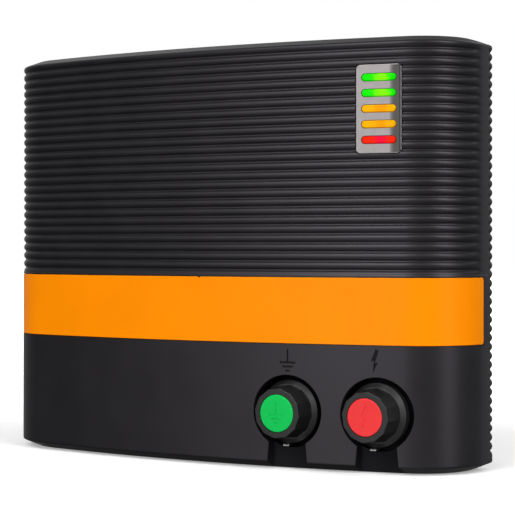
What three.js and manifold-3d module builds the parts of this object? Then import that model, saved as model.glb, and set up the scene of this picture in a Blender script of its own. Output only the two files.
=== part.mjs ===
// Mains fence energizer: a two-part plastic case with a bar-graph window, a wrap-round label
// strip and two screw terminals, around a capacitor-discharge circuit.
//
// Millimetres. X runs to the right seen from the front, Y from the front to the back, Z up.
// Everything is drawn with Y = 0 at the foremost line of the case and Z = 0 at its underside.
// The exported group then moves the middle of the whole depth to Y = 0.

import * as THREE from 'three';
import { mergeVertices } from 'three/addons/utils/BufferGeometryUtils.js';
import Module from 'manifold-3d';

const wasm = await Module();
wasm.setup();

// ---------------------------------------------------------------- driving dimensions

const GAP = 0.3; // between touching pieces

// Case outline, seen from above: a shallow bow, two round corners, straight side ends
const CASE_HALF_WIDTH = 149;
const CASE_HEIGHT = 230;
const BOW_RADIUS = 612.8;
const CORNER_RADIUS = 39;
const COVER_DEPTH = 53.8;
const BEVEL_WIDTH = 9.6;
const BEVEL_HEIGHT = 3.9;
const COVER_WALL = 5;

// Grip ribs: rounded crests between shallow grooves
const RIB_PITCH = 4.84;
const GROOVE_COUNT = 25;
const TOP_GROOVE_Z = 223;
const CREST_INSET = 0.4;
const GROOVE_INSET = 1.2;

// Label strip in its recess
const LABEL_BOTTOM = 67.5;
const LABEL_TOP = 102.9;
const LABEL_INSET = 0.1;
const LABEL_THICKNESS = 1.1;
const LABEL_END = THREE.MathUtils.degToRad(85);

// Bar-graph window
const WINDOW = { x: 104.95, z: 191.4, width: 25, height: 46.9, corner: 2.4, thickness: 5 };
const WINDOW_FLANGE = { margin: 2.5, thickness: 1.5 };
const BAR = { width: 18.5, height: 3.8, corner: 1.8, depth: 8.4, pitch: 8.2, topZ: 208, proud: 0.1 };
const BAR_COLOURS = [0x3fae29, 0x3fae29, 0xf39a1c, 0xf39a1c, 0xd8262c];
const CHIP = { halfWidth: 1.75, halfHeight: 1.4, depth: 1.8 };
const DISPLAY_BOARD = { halfWidth: 15, halfHeight: 26 };

// Screw terminals; capY is the front of the knob's cap
const TERMINALS = [
  { name: 'earth', x: 54, capY: -9.1, colour: 0x2fb457 },
  { name: 'fence', x: 104.1, capY: -5.5, colour: 0xe2383c },
];
const TERMINAL_Z = 31;
const POCKET_RADIUS = 19.55;
const POCKET_WALL = 3;
const POCKET_FLOOR = 24.9; // depths in a terminal are measured from the cap's front
const FLOOR_THICKNESS = 3.5;
const CHANNEL = { topWidth: 20.6, bottomWidth: 24, topZ: 16, depth: 5, backing: 4, sideWall: 3 };
const STUD_RADIUS = 4;
const STUD_HOLE_RADIUS = 4.4;

// Knob
const KNOB_SIDES = 12;
const KNOB_TURN = THREE.MathUtils.degToRad(6.5); // of the top corner from upright
const KNOB_FRONT_RADIUS = 13.4;
const KNOB_BASE_RADIUS = 14.4;
const KNOB_FRONT = 0.4;
const FLANGE_START = 12.3;
const FLANGE_EDGE = 15.7;
const KNOB_BACK = 19;
const FLANGE_RADIUS = 16.7;
const CAP_RADIUS = 9.95;
const CAP_THICKNESS = 2;
const INSERT_RADIUS = 7;
const INSERT_FRONT = 6.5;

// Behind each knob: clamp washer, contact seat, ring lug and the bolt's head
const WASHER = { front: KNOB_BACK + GAP, thickness: 1.6, radius: 12 };
const ARM = { offset: -1.5, halfWidth: 1.75, thickness: 1.2, below: 0.5, lipFront: 14.1, lipHeight: 3.2 };
const SEAT = { front: WASHER.front + WASHER.thickness + GAP, radius: 11 };
const LUG = { front: POCKET_FLOOR + FLOOR_THICKNESS + GAP, thickness: 0.9, radius: 7 };
const BARREL = { halfWidth: 3, depth: 4.4, start: 10, end: 16 };
const BOLT = { headFront: LUG.front + LUG.thickness + GAP, headRadius: 7.4, headHeight: 5.3 };

// Leads from the lugs to the board
const LEAD = { radius: 1.7, steps: 10, rise: 7, drop: 10, forward: 12 };
const LEAD_ENDS = { earth: [8, 64, 77], fence: [40, 64, 77] };

// Rear shell: a ribbed flange around a tub
const SHELL_FRONT = COVER_DEPTH + GAP;
const FLANGE_BACK = 59;
const SHELL_BACK = 100.9;
const SHELL_WALL = 4;
const TUB = { halfWidth: 131, top: 214, backHalfWidth: 129, backTop: 212, corner: 12 };
const SEAL = { inset: 2.2, width: 2, thickness: 1.8 };

// Case screws
const SCREW_X = 140;
const SCREW_HEIGHTS = [14, 115, 214];
const SCREW = { radius: 1.9, hole: 2.2, headRadius: 3.5, headHeight: 2.6, tipY: 42 };
const SCREW_BOSS = { radius: 5.2, front: 20 };

// Hanging keyholes in the back
const KEYHOLE = { x: 62, z: 186, headRadius: 5.25, slotWidth: 5.5, slotLength: 13, skin: 3 };
const KEYHOLE_HOLLOW = { depth: 8, margin: 0.6, above: 3 };
const KEYHOLE_BLOCK = { width: 26, bottom: 174, top: 206, thickness: 9 };

// Supply inlet in the tub's left side
const INLET = { y: 80, z: 22, hole: 3.6, neck: 6.4, lip: 8.6, lipThickness: 1.6, edge: 0.8 };
const INLET_NECK = { outside: 1.4, inside: 2.4 }; // past the wall's two faces

// Circuit board and its posts
const BOARD = { left: -105, right: 75, bottom: 62, top: 172, front: 84, thickness: 1.6 };
const POST = { inset: 6, radius: 4, hole: 1.7, holeEnd: 5 };
const BOARD_SCREW = { radius: 1.4, headRadius: 2.8, headHeight: 2, tipY: 93.9 };

// Components on the board; every one stands forward from it
const COMPONENT_BACK = BOARD.front - GAP;
const CAPACITOR = { left: -98, right: -41, front: 36, halfHeight: 21 };
const CAPACITOR_HEIGHTS = [140, 92];
const PULSE_TRANSFORMER = {
  x: 18, z: 108, width: 66, height: 56, leg: 18, yoke: 10, front: 48, back: 72, overhang: 10,
};
const SUPPLY_TRANSFORMER = {
  x: -14, z: 154, width: 28, height: 24, leg: 8, yoke: 4, front: 66, back: 78, overhang: 4,
};
const HEAT_SINK = { left: 56, right: 70, bottom: 84, top: 134, front: 62, base: 80 };
const FIN = { count: 4, pitch: 4, thickness: 2 };
const THYRISTOR = { left: 57, right: 69, bottom: 138, top: 154, front: 77 };
const FUSE_HOLDER = { left: 14, right: 44, bottom: 148, top: 158, front: 68, base: 78, end: 3 };
const FUSE = { radius: 2.6, y: 72.5 };
const ABSORBER = { x: 4, z: 73, radius: 7, front: 78.5 };

const CAP_FRONT_Y = Math.min(...TERMINALS.map((terminal) => terminal.capY));
const CENTRE_Y = (CAP_FRONT_Y + SHELL_BACK) / 2;

// ---------------------------------------------------------------- solids

// Merges shared vertices and drops the zero-area triangles at a lathe's poles.
function weld(geometry) {
  const bare = geometry.index ? geometry.toNonIndexed() : geometry.clone();
  bare.deleteAttribute('normal');
  bare.deleteAttribute('uv');
  const merged = mergeVertices(bare, 1e-4);
  const kept = [];
  const index = merged.index.array;
  for (let i = 0; i < index.length; i += 3) {
    const [a, b, c] = [index[i], index[i + 1], index[i + 2]];
    if (a !== b && b !== c && c !== a) kept.push(a, b, c);
  }
  merged.setIndex(kept);
  if (signedVolume(merged) < 0) flip(merged);
  return merged;
}

function signedVolume(geometry) {
  const position = geometry.attributes.position;
  const index = geometry.index.array;
  const [a, b, c] = [new THREE.Vector3(), new THREE.Vector3(), new THREE.Vector3()];
  let volume = 0;
  for (let i = 0; i < index.length; i += 3) {
    a.fromBufferAttribute(position, index[i]);
    b.fromBufferAttribute(position, index[i + 1]);
    c.fromBufferAttribute(position, index[i + 2]);
    volume += a.dot(b.cross(c)) / 6;
  }
  return volume;
}

function flip(geometry) {
  const index = geometry.index.array;
  for (let i = 0; i < index.length; i += 3) {
    [index[i + 1], index[i + 2]] = [index[i + 2], index[i + 1]];
  }
}

function toSolid(geometry) {
  const welded = weld(geometry);
  const vertProperties = new Float32Array(welded.attributes.position.array);
  const triVerts = new Uint32Array(welded.index.array);
  return new wasm.Manifold(new wasm.Mesh({ numProp: 3, vertProperties, triVerts }));
}

function toGeometry(solid) {
  const mesh = solid.getMesh();
  const geometry = new THREE.BufferGeometry();
  geometry.setAttribute('position', new THREE.BufferAttribute(mesh.vertProperties, 3));
  geometry.setIndex(new THREE.BufferAttribute(mesh.triVerts, 1));
  return geometry;
}

function join(...geometries) {
  return toGeometry(geometries.map(toSolid).reduce((sum, solid) => sum.add(solid)));
}

function cut(geometry, ...tools) {
  return toGeometry(tools.map(toSolid).reduce((rest, tool) => rest.subtract(tool), toSolid(geometry)));
}

function common(geometry, other) {
  return toGeometry(toSolid(geometry).intersect(toSolid(other)));
}

// A closed body through rings of equal point counts, with flat ends.
function loft(rings) {
  const count = rings[0].length;
  const corners = rings.flat();
  const triangles = [];
  for (let ring = 0; ring + 1 < rings.length; ring += 1) {
    for (let i = 0; i < count; i += 1) {
      const a = ring * count + i;
      const b = ring * count + ((i + 1) % count);
      triangles.push(a, b, b + count, a, b + count, a + count);
    }
  }
  const last = (rings.length - 1) * count;
  for (const [a, b, c] of capTriangles(rings[0])) triangles.push(a, c, b);
  for (const [a, b, c] of capTriangles(rings.at(-1))) triangles.push(last + a, last + b, last + c);
  const geometry = new THREE.BufferGeometry().setFromPoints(corners);
  geometry.setIndex(triangles);
  return geometry;
}

// Triangles of a flat ring, wound the same way as the ring itself.
function capTriangles(ring) {
  const level = ring.every((point) => Math.abs(point.z - ring[0].z) < 1e-6);
  const flat = ring.map((point) => new THREE.Vector2(point.x, level ? point.y : point.z));
  const forward = THREE.ShapeUtils.area(flat) > 0;
  const triangles = THREE.ShapeUtils.triangulateShape(flat, []);
  return triangles.map(([a, b, c]) => {
    const turn = THREE.ShapeUtils.area([flat[a], flat[b], flat[c]]) > 0;
    return turn === forward ? [a, b, c] : [a, c, b];
  });
}

function box(x0, x1, y0, y1, z0, z1) {
  const geometry = new THREE.BoxGeometry(x1 - x0, y1 - y0, z1 - z0);
  return geometry.translate((x0 + x1) / 2, (y0 + y1) / 2, (z0 + z1) / 2);
}

// A round or many-sided bar along Y.
function rodY(radius, y0, y1, x, z, sides = 16) {
  const geometry = new THREE.CylinderGeometry(radius, radius, y1 - y0, sides);
  return geometry.translate(x, (y0 + y1) / 2, z);
}

// A many-sided taper along Y, front radius first.
function taperY(frontRadius, backRadius, y0, y1, x, z, sides) {
  const geometry = new THREE.CylinderGeometry(backRadius, frontRadius, y1 - y0, sides);
  return geometry.translate(x, (y0 + y1) / 2, z);
}

// A body turned about Y from [radius, y] points.
function turnedY(profile, x, z, sides = 32) {
  const points = profile.map(([radius, y]) => new THREE.Vector2(radius, y));
  return new THREE.LatheGeometry(points, sides).translate(x, 0, z);
}

const flatPoints = (points) => points.map(([a, b]) => new THREE.Vector2(a, b));

function outlineShape(points, holePoints) {
  const shape = new THREE.Shape(flatPoints(points));
  if (holePoints) shape.holes.push(new THREE.Path(flatPoints(holePoints)));
  return shape;
}

function extruded(shape, depth) {
  return new THREE.ExtrudeGeometry(shape, { depth, bevelEnabled: false });
}

// An X-Y outline raised from z0 to z1.
function raised(shape, z0, z1) {
  return extruded(shape, z1 - z0).translate(0, 0, z0);
}

// An X-Z outline carried back from y0 to y1.
function carried(shape, y0, y1) {
  return extruded(shape, y1 - y0).rotateX(Math.PI / 2).translate(0, y1, 0);
}

// Corner points of a rectangle with round corners, four points to a corner.
function roundedRect(x0, z0, x1, z1, radius) {
  const steps = 3;
  const centres = [
    [x1 - radius, z0 + radius, -90],
    [x1 - radius, z1 - radius, 0],
    [x0 + radius, z1 - radius, 90],
    [x0 + radius, z0 + radius, 180],
  ];
  const points = [];
  for (const [cx, cz, start] of centres) {
    for (let step = 0; step <= steps; step += 1) {
      const angle = THREE.MathUtils.degToRad(start + (90 * step) / steps);
      points.push([cx + radius * Math.cos(angle), cz + radius * Math.sin(angle)]);
    }
  }
  return points;
}

// An eight-sided tube along a smooth curve through points.
function tube(points, radius, steps) {
  const path = new THREE.CatmullRomCurve3(points.map((point) => new THREE.Vector3(...point)));
  const sides = 8;
  const section = [];
  for (let side = 0; side < sides; side += 1) {
    const angle = (side * 2 * Math.PI) / sides;
    section.push([radius * Math.cos(angle), radius * Math.sin(angle)]);
  }
  const settings = { steps, extrudePath: path, bevelEnabled: false };
  return new THREE.ExtrudeGeometry(outlineShape(section), settings);
}

// ---------------------------------------------------------------- case outline

const BOW_STEPS = 4;
const CORNER_STEPS = 5;
const CORNER_X = CASE_HALF_WIDTH - CORNER_RADIUS;
const BOW_END = Math.asin(CORNER_X / (BOW_RADIUS - CORNER_RADIUS));
const CORNER_Y = BOW_RADIUS - (BOW_RADIUS - CORNER_RADIUS) * Math.cos(BOW_END);
const RIB_END = THREE.MathUtils.degToRad(80);
const STRIP_START = THREE.MathUtils.degToRad(83);

function bowPoint(inset, angle) {
  const radius = BOW_RADIUS - inset;
  return [radius * Math.sin(angle), BOW_RADIUS - radius * Math.cos(angle)];
}

function cornerPoint(inset, angle) {
  const radius = CORNER_RADIUS - inset;
  return [CORNER_X + radius * Math.sin(angle), CORNER_Y - radius * Math.cos(angle)];
}

const mirrored = (points) => points.map(([x, y]) => [-x, y]).reverse();

// The front and both corners, from the left end to the right end.
function frontCurve(inset, endAngle) {
  const right = [];
  for (let step = 0; step <= BOW_STEPS; step += 1) {
    right.push(bowPoint(inset, (BOW_END * step) / BOW_STEPS));
  }
  for (let step = 1; step <= CORNER_STEPS; step += 1) {
    right.push(cornerPoint(inset, BOW_END + ((endAngle - BOW_END) * step) / CORNER_STEPS));
  }
  return [...mirrored(right.slice(1)), ...right];
}

// The whole outline: the smooth side strips may sit at an inset of their own.
function caseOutline(inset, sideInset = inset, backY = COVER_DEPTH) {
  const side = [
    cornerPoint(sideInset, STRIP_START),
    cornerPoint(sideInset, Math.PI / 2),
    [CASE_HALF_WIDTH - sideInset, backY],
  ];
  return [...mirrored(side), ...frontCurve(inset, RIB_END), ...side];
}

function levelRing(z, outline) {
  return outline.map(([x, y]) => new THREE.Vector3(x, y, z));
}

const bowY = (x, inset) => BOW_RADIUS - Math.sqrt((BOW_RADIUS - inset) ** 2 - x ** 2);
const bowAngle = (x) => Math.asin(x / BOW_RADIUS);

// ---------------------------------------------------------------- assembly

const energizer = new THREE.Group();
energizer.position.y = -CENTRE_Y;

function add(name, geometry, color, roughness, metalness = 0) {
  const finished = weld(geometry);
  finished.computeVertexNormals();
  const material = new THREE.MeshStandardMaterial({ color, roughness, metalness });
  const mesh = new THREE.Mesh(finished, material);
  mesh.name = name;
  energizer.add(mesh);
}

const CASE_BLACK = 0x2a2a2d;
const PLATED = 0xb9bcc0;
const BRASS = 0xb5954a;
const RUBBER = 0x18181a;
const BOARD_GREEN = 0x1f5a34;
const FERRITE = 0x3a3a3c;
const COPPER = 0xb46a3c;

// ---------------------------------------------------------------- front cover

function coverBlank() {
  const rings = [
    [0, BEVEL_WIDTH],
    [BEVEL_HEIGHT, 0],
    [LABEL_TOP + 0.8, 0],
  ];
  const lowestGroove = TOP_GROOVE_Z - (GROOVE_COUNT - 1) * RIB_PITCH;
  rings.push([lowestGroove - RIB_PITCH / 2, CREST_INSET]);
  for (let groove = 0; groove < GROOVE_COUNT; groove += 1) {
    const z = lowestGroove + groove * RIB_PITCH;
    rings.push([z, GROOVE_INSET, CREST_INSET]);
    rings.push([z + RIB_PITCH / 2, CREST_INSET]);
  }
  rings.push([CASE_HEIGHT - BEVEL_HEIGHT, CREST_INSET]);
  rings.push([CASE_HEIGHT, BEVEL_WIDTH]);
  return loft(rings.map(([z, inset, sideInset]) => levelRing(z, caseOutline(inset, sideInset))));
}

function coverCavity() {
  const deepInset = COVER_WALL + BEVEL_WIDTH;
  const rings = [
    [COVER_WALL, deepInset],
    [COVER_WALL + BEVEL_HEIGHT, COVER_WALL],
    [CASE_HEIGHT - COVER_WALL - BEVEL_HEIGHT, COVER_WALL],
    [CASE_HEIGHT - COVER_WALL, deepInset],
  ];
  const backY = COVER_DEPTH + COVER_WALL;
  return loft(rings.map(([z, inset]) => levelRing(z, caseOutline(inset, inset, backY))));
}

function labelRecess() {
  const depth = LABEL_INSET + LABEL_THICKNESS + GAP;
  const end = LABEL_END + THREE.MathUtils.degToRad(0.5);
  const outline = [...frontCurve(-1, end), ...frontCurve(depth, end).reverse()];
  return raised(outlineShape(outline), LABEL_BOTTOM - GAP, LABEL_TOP + GAP);
}

// The local frame of the window: its middle on the crest line, turned to face along the bow.
function ontoWindow(geometry) {
  const y = bowY(WINDOW.x, CREST_INSET);
  return geometry.rotateZ(bowAngle(WINDOW.x)).translate(WINDOW.x, y, 0);
}

function windowRect(margin) {
  const halfWidth = WINDOW.width / 2 + margin;
  const halfHeight = WINDOW.height / 2 + margin;
  const points = roundedRect(-halfWidth, WINDOW.z - halfHeight, halfWidth, WINDOW.z + halfHeight,
    WINDOW.corner + margin);
  return outlineShape(points);
}

function pocketBoss(terminal) {
  const back = terminal.capY + POCKET_FLOOR + FLOOR_THICKNESS;
  return rodY(POCKET_RADIUS + POCKET_WALL, -1, back, terminal.x, TERMINAL_Z, 32);
}

function pocketHollow(terminal) {
  const floor = terminal.capY + POCKET_FLOOR;
  return rodY(POCKET_RADIUS, -20, floor, terminal.x, TERMINAL_Z, 32);
}

function studHole(terminal) {
  const y = terminal.capY + POCKET_FLOOR;
  return rodY(STUD_HOLE_RADIUS, y - 1, y + FLOOR_THICKNESS + 1, terminal.x, TERMINAL_Z);
}

// A flared slot from the pocket to the underside; extra widens it all round.
function channelBlock(terminal, depth, extra, front) {
  const top = CHANNEL.topWidth / 2 + extra;
  const bottom = CHANNEL.bottomWidth / 2 + extra;
  const points = [[-bottom, -1], [bottom, -1], [top, CHANNEL.topZ], [-top, CHANNEL.topZ]];
  const block = carried(outlineShape(points), front, depth);
  return block.rotateZ(bowAngle(terminal.x)).translate(terminal.x, bowY(terminal.x, 0), 0);
}

function screwPlaces() {
  return SCREW_HEIGHTS.flatMap((z) => [[-SCREW_X, z], [SCREW_X, z]]);
}

function frontCover() {
  const blank = coverBlank();
  const shell = cut(blank, coverCavity());
  const supports = [
    ...TERMINALS.map(pocketBoss),
    ...TERMINALS.map((terminal) => {
      return channelBlock(terminal, CHANNEL.depth + CHANNEL.backing, CHANNEL.sideWall, -2);
    }),
    ...screwPlaces().map(([x, z]) => {
      return rodY(SCREW_BOSS.radius, SCREW_BOSS.front, COVER_DEPTH, x, z, 12);
    }),
  ];
  const inside = common(join(...supports), blank);
  return cut(
    join(shell, inside),
    labelRecess(),
    ontoWindow(carried(windowRect(GAP), -4, WINDOW.thickness + 2)),
    ...TERMINALS.map(pocketHollow),
    ...TERMINALS.map((terminal) => channelBlock(terminal, CHANNEL.depth, 0, -6)),
    ...TERMINALS.map(studHole),
    ...screwPlaces().map(([x, z]) => rodY(SCREW.hole, SCREW.tipY - 1, COVER_DEPTH + 1, x, z, 12)),
  );
}

add('front_cover', frontCover(), CASE_BLACK, 0.55);

// ---------------------------------------------------------------- label strip

function labelStrip() {
  const outer = frontCurve(LABEL_INSET, LABEL_END);
  const inner = frontCurve(LABEL_INSET + LABEL_THICKNESS, LABEL_END).reverse();
  return raised(outlineShape([...outer, ...inner]), LABEL_BOTTOM, LABEL_TOP);
}

add('label_strip', labelStrip(), 0xff9100, 0.25);

// ---------------------------------------------------------------- bar-graph display

const barHeight = (bar) => BAR.topZ - bar * BAR.pitch;

function barShape(bar, margin) {
  const halfWidth = BAR.width / 2 + margin;
  const halfHeight = BAR.height / 2 + margin;
  const z = barHeight(bar);
  const corner = BAR.corner + margin;
  return outlineShape(roundedRect(-halfWidth, z - halfHeight, halfWidth, z + halfHeight, corner));
}

function ledWindow() {
  const flangeFront = WINDOW.thickness + GAP;
  const flangeBack = flangeFront + WINDOW_FLANGE.thickness;
  const plate = carried(windowRect(0), GAP, flangeBack);
  const flange = carried(windowRect(WINDOW_FLANGE.margin), flangeFront, flangeBack);
  const slots = BAR_COLOURS.map((colour, bar) => carried(barShape(bar, GAP), -2, 12));
  return ontoWindow(cut(join(plate, flange), ...slots));
}

add('led_window', ledWindow(), 0x6c6a6d, 0.3, 0.4);

const CHIP_FRONT = BAR.depth + GAP;
const DISPLAY_BOARD_FRONT = CHIP_FRONT + CHIP.depth + GAP;

BAR_COLOURS.forEach((colour, bar) => {
  const number = bar + 1;
  add(`led_bar_${number}`, ontoWindow(carried(barShape(bar, 0), BAR.proud, BAR.depth)), colour, 0.35);
  const z = barHeight(bar);
  const chip = box(-CHIP.halfWidth, CHIP.halfWidth, CHIP_FRONT, CHIP_FRONT + CHIP.depth,
    z - CHIP.halfHeight, z + CHIP.halfHeight);
  add(`led_chip_${number}`, ontoWindow(chip), 0xf2f0e4, 0.4);
});

const displayBoard = box(-DISPLAY_BOARD.halfWidth, DISPLAY_BOARD.halfWidth,
  DISPLAY_BOARD_FRONT, DISPLAY_BOARD_FRONT + BOARD.thickness,
  WINDOW.z - DISPLAY_BOARD.halfHeight, WINDOW.z + DISPLAY_BOARD.halfHeight);
add('display_board', ontoWindow(displayBoard), BOARD_GREEN, 0.5);

// ---------------------------------------------------------------- screw terminals

function knob(x, front) {
  const grip = taperY(KNOB_FRONT_RADIUS, KNOB_BASE_RADIUS, front + KNOB_FRONT, front + FLANGE_START + 1,
    0, 0, KNOB_SIDES);
  const body = grip.rotateY(KNOB_TURN).translate(x, 0, TERMINAL_Z);
  const flange = turnedY([
    [0, front + FLANGE_START],
    [KNOB_BASE_RADIUS, front + FLANGE_START],
    [FLANGE_RADIUS, front + FLANGE_EDGE],
    [FLANGE_RADIUS, front + KNOB_BACK],
    [0, front + KNOB_BACK],
  ], x, TERMINAL_Z);
  const capSeat = rodY(CAP_RADIUS + GAP, front - 1, front + CAP_THICKNESS + GAP, x, TERMINAL_Z, 24);
  const bore = rodY(INSERT_RADIUS + GAP, front + INSERT_FRONT - GAP, front + KNOB_BACK + 1,
    x, TERMINAL_Z, 24);
  return cut(join(body, flange), capSeat, bore);
}

function knobCap(x, front) {
  const edge = 0.5;
  return turnedY([
    [0, front],
    [CAP_RADIUS - edge, front],
    [CAP_RADIUS, front + edge],
    [CAP_RADIUS, front + CAP_THICKNESS],
    [0, front + CAP_THICKNESS],
  ], x, TERMINAL_Z, 24);
}

function ringY(outerRadius, innerRadius, y0, y1, x, z, sides) {
  const front = [[innerRadius, y0], [outerRadius, y0]];
  const back = [[outerRadius, y1], [innerRadius, y1], [innerRadius, y0]];
  return turnedY([...front, ...back], x, z, sides);
}

// The clamp washer's arm passes under the knob's flange and ends in a small lip in the slot.
function clampWasher(x, front) {
  const y0 = front + WASHER.front;
  const y1 = y0 + WASHER.thickness;
  const left = x + ARM.offset - ARM.halfWidth;
  const right = x + ARM.offset + ARM.halfWidth;
  const armTop = TERMINAL_Z - FLANGE_RADIUS - ARM.below;
  const armBottom = armTop - ARM.thickness;
  const lipFront = front + ARM.lipFront;
  const disc = rodY(WASHER.radius, y0, y1, x, TERMINAL_Z, 24);
  const neck = box(left, right, y0, y1, armBottom, TERMINAL_Z);
  const arm = box(left, right, lipFront, y1, armBottom, armTop);
  const lip = box(left, right, lipFront, lipFront + ARM.thickness, armTop - ARM.lipHeight, armTop);
  return cut(join(disc, neck, arm, lip), rodY(STUD_HOLE_RADIUS, y0 - 1, y1 + 1, x, TERMINAL_Z));
}

function terminalBolt(x, front) {
  const headFront = front + BOLT.headFront;
  const head = rodY(BOLT.headRadius, headFront, headFront + BOLT.headHeight, x, TERMINAL_Z, 6);
  const shank = rodY(STUD_RADIUS, front + INSERT_FRONT + 1, headFront + 1, x, TERMINAL_Z);
  return join(head, shank);
}

// Ring lug with an upright crimp barrel.
function ringLug(x, front) {
  const y0 = front + LUG.front;
  const y1 = y0 + LUG.thickness;
  const ring = rodY(LUG.radius, y0, y1, x, TERMINAL_Z, 20);
  const [left, right] = [x - BARREL.halfWidth, x + BARREL.halfWidth];
  const tongue = box(left, right, y0, y1, TERMINAL_Z, TERMINAL_Z + BARREL.end);
  const barrelTop = TERMINAL_Z + BARREL.end;
  const barrel = box(left, right, y0, y0 + BARREL.depth, TERMINAL_Z + BARREL.start, barrelTop);
  return cut(join(ring, tongue, barrel), rodY(STUD_HOLE_RADIUS, y0 - 1, y1 + 1, x, TERMINAL_Z));
}

// A lead from just above its lug's barrel, up and across to its end near the board.
function terminalLead(name, x, front) {
  const y = front + LUG.front + BARREL.depth / 2;
  const z = TERMINAL_Z + BARREL.end + 1;
  const [endX, endY, endZ] = LEAD_ENDS[name];
  const bend = [(x + endX) / 2, endY - LEAD.forward, endZ - LEAD.drop];
  return tube([[x, y, z], [x, y, z + LEAD.rise], bend, [endX, endY, endZ]], LEAD.radius, LEAD.steps);
}

for (const terminal of TERMINALS) {
  const { name, x, capY, colour } = terminal;
  add(`${name}_knob`, knob(x, capY), CASE_BLACK, 0.5);
  add(`${name}_knob_cap`, knobCap(x, capY), colour, 0.35);
  const insert = ringY(INSERT_RADIUS, STUD_RADIUS + GAP, capY + INSERT_FRONT, capY + KNOB_BACK - GAP,
    x, TERMINAL_Z, 20);
  add(`${name}_knob_insert`, insert, BRASS, 0.35, 0.9);
  add(`${name}_clamp_washer`, clampWasher(x, capY), PLATED, 0.3, 0.9);
  const seat = ringY(SEAT.radius, STUD_HOLE_RADIUS, capY + SEAT.front, capY + POCKET_FLOOR - GAP,
    x, TERMINAL_Z, 24);
  add(`${name}_contact_seat`, seat, PLATED, 0.35, 0.9);
  add(`${name}_terminal_bolt`, terminalBolt(x, capY), PLATED, 0.35, 0.9);
  add(`${name}_ring_lug`, ringLug(x, capY), 0xc9ccd0, 0.3, 0.9);
  add(`${name}_lead`, terminalLead(name, x, capY), colour, 0.6);
}

// ---------------------------------------------------------------- rear shell

// The flange's front view: the case's own outline, grooved along both sides.
function flangeOutline(inset, grooved) {
  const halfWidth = CASE_HALF_WIDTH - CREST_INSET - inset;
  const bevelStart = halfWidth + CREST_INSET - BEVEL_WIDTH;
  const side = [[bevelStart, inset], [halfWidth, BEVEL_HEIGHT + inset / 2]];
  const steps = 2 * Math.floor((TOP_GROOVE_Z - BEVEL_HEIGHT) / RIB_PITCH);
  for (let step = steps; step >= 0 && grooved; step -= 1) {
    const z = TOP_GROOVE_Z - (step * RIB_PITCH) / 2;
    const depth = step % 2 === 0 ? GROOVE_INSET - CREST_INSET : 0;
    side.push([halfWidth - depth, z]);
  }
  side.push([halfWidth, CASE_HEIGHT - BEVEL_HEIGHT - inset / 2]);
  side.push([bevelStart, CASE_HEIGHT - inset]);
  return [...side, ...mirrored(side)];
}

function tubBlock(inset, front, back) {
  const rings = [
    [front, TUB.halfWidth, TUB.top],
    [back, TUB.backHalfWidth, TUB.backTop],
  ];
  return loft(rings.map(([y, outerHalf, outerTop]) => {
    const half = outerHalf - inset;
    const points = roundedRect(-half, inset, half, outerTop - inset, TUB.corner - inset);
    return points.map(([x, z]) => new THREE.Vector3(x, y, z));
  }));
}

// Square foot corners, so that the tub rests flat out to its full width.
function tubFeet() {
  return box(-TUB.backHalfWidth + 1, TUB.backHalfWidth - 1, SHELL_FRONT, SHELL_BACK, 0, TUB.corner);
}

function sealGroove() {
  const outer = flangeOutline(SEAL.inset - GAP, false);
  const inner = flangeOutline(SEAL.inset + SEAL.width + GAP, false);
  return carried(outlineShape(outer, inner), SHELL_FRONT - 1, SHELL_FRONT + SEAL.thickness + GAP);
}

function keyholeSkinCut(side) {
  const x = side * KEYHOLE.x;
  const start = SHELL_BACK - KEYHOLE.skin - 1;
  const head = rodY(KEYHOLE.headRadius, start, SHELL_BACK + 1, x, KEYHOLE.z, 20);
  const half = KEYHOLE.slotWidth / 2;
  const slotTop = KEYHOLE.z + KEYHOLE.slotLength;
  const slot = box(x - half, x + half, start, SHELL_BACK + 1, KEYHOLE.z, slotTop);
  return join(head, slot);
}

// The hollow behind the skin, where the screw head slides.
function keyholeHollow(side) {
  const x = side * KEYHOLE.x;
  const reach = KEYHOLE.headRadius + KEYHOLE_HOLLOW.margin;
  const top = KEYHOLE.z + KEYHOLE.slotLength + KEYHOLE_HOLLOW.above;
  return box(x - reach, x + reach, SHELL_BACK - KEYHOLE_HOLLOW.depth, SHELL_BACK - KEYHOLE.skin,
    KEYHOLE.z - reach, top);
}

function keyholeBlock(side) {
  const x = side * KEYHOLE.x;
  const half = KEYHOLE_BLOCK.width / 2;
  return box(x - half, x + half, SHELL_BACK - SHELL_WALL - KEYHOLE_BLOCK.thickness, SHELL_BACK - 1,
    KEYHOLE_BLOCK.bottom, KEYHOLE_BLOCK.top);
}

function rodX(radius, x0, x1, y, z, sides = 16) {
  const geometry = new THREE.CylinderGeometry(radius, radius, x1 - x0, sides);
  return geometry.rotateZ(Math.PI / 2).translate((x0 + x1) / 2, y, z);
}

function postPlaces() {
  const xs = [BOARD.left + POST.inset, BOARD.right - POST.inset];
  const zs = [BOARD.bottom + POST.inset, BOARD.top - POST.inset];
  return xs.flatMap((x) => zs.map((z) => [x, z]));
}

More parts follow.
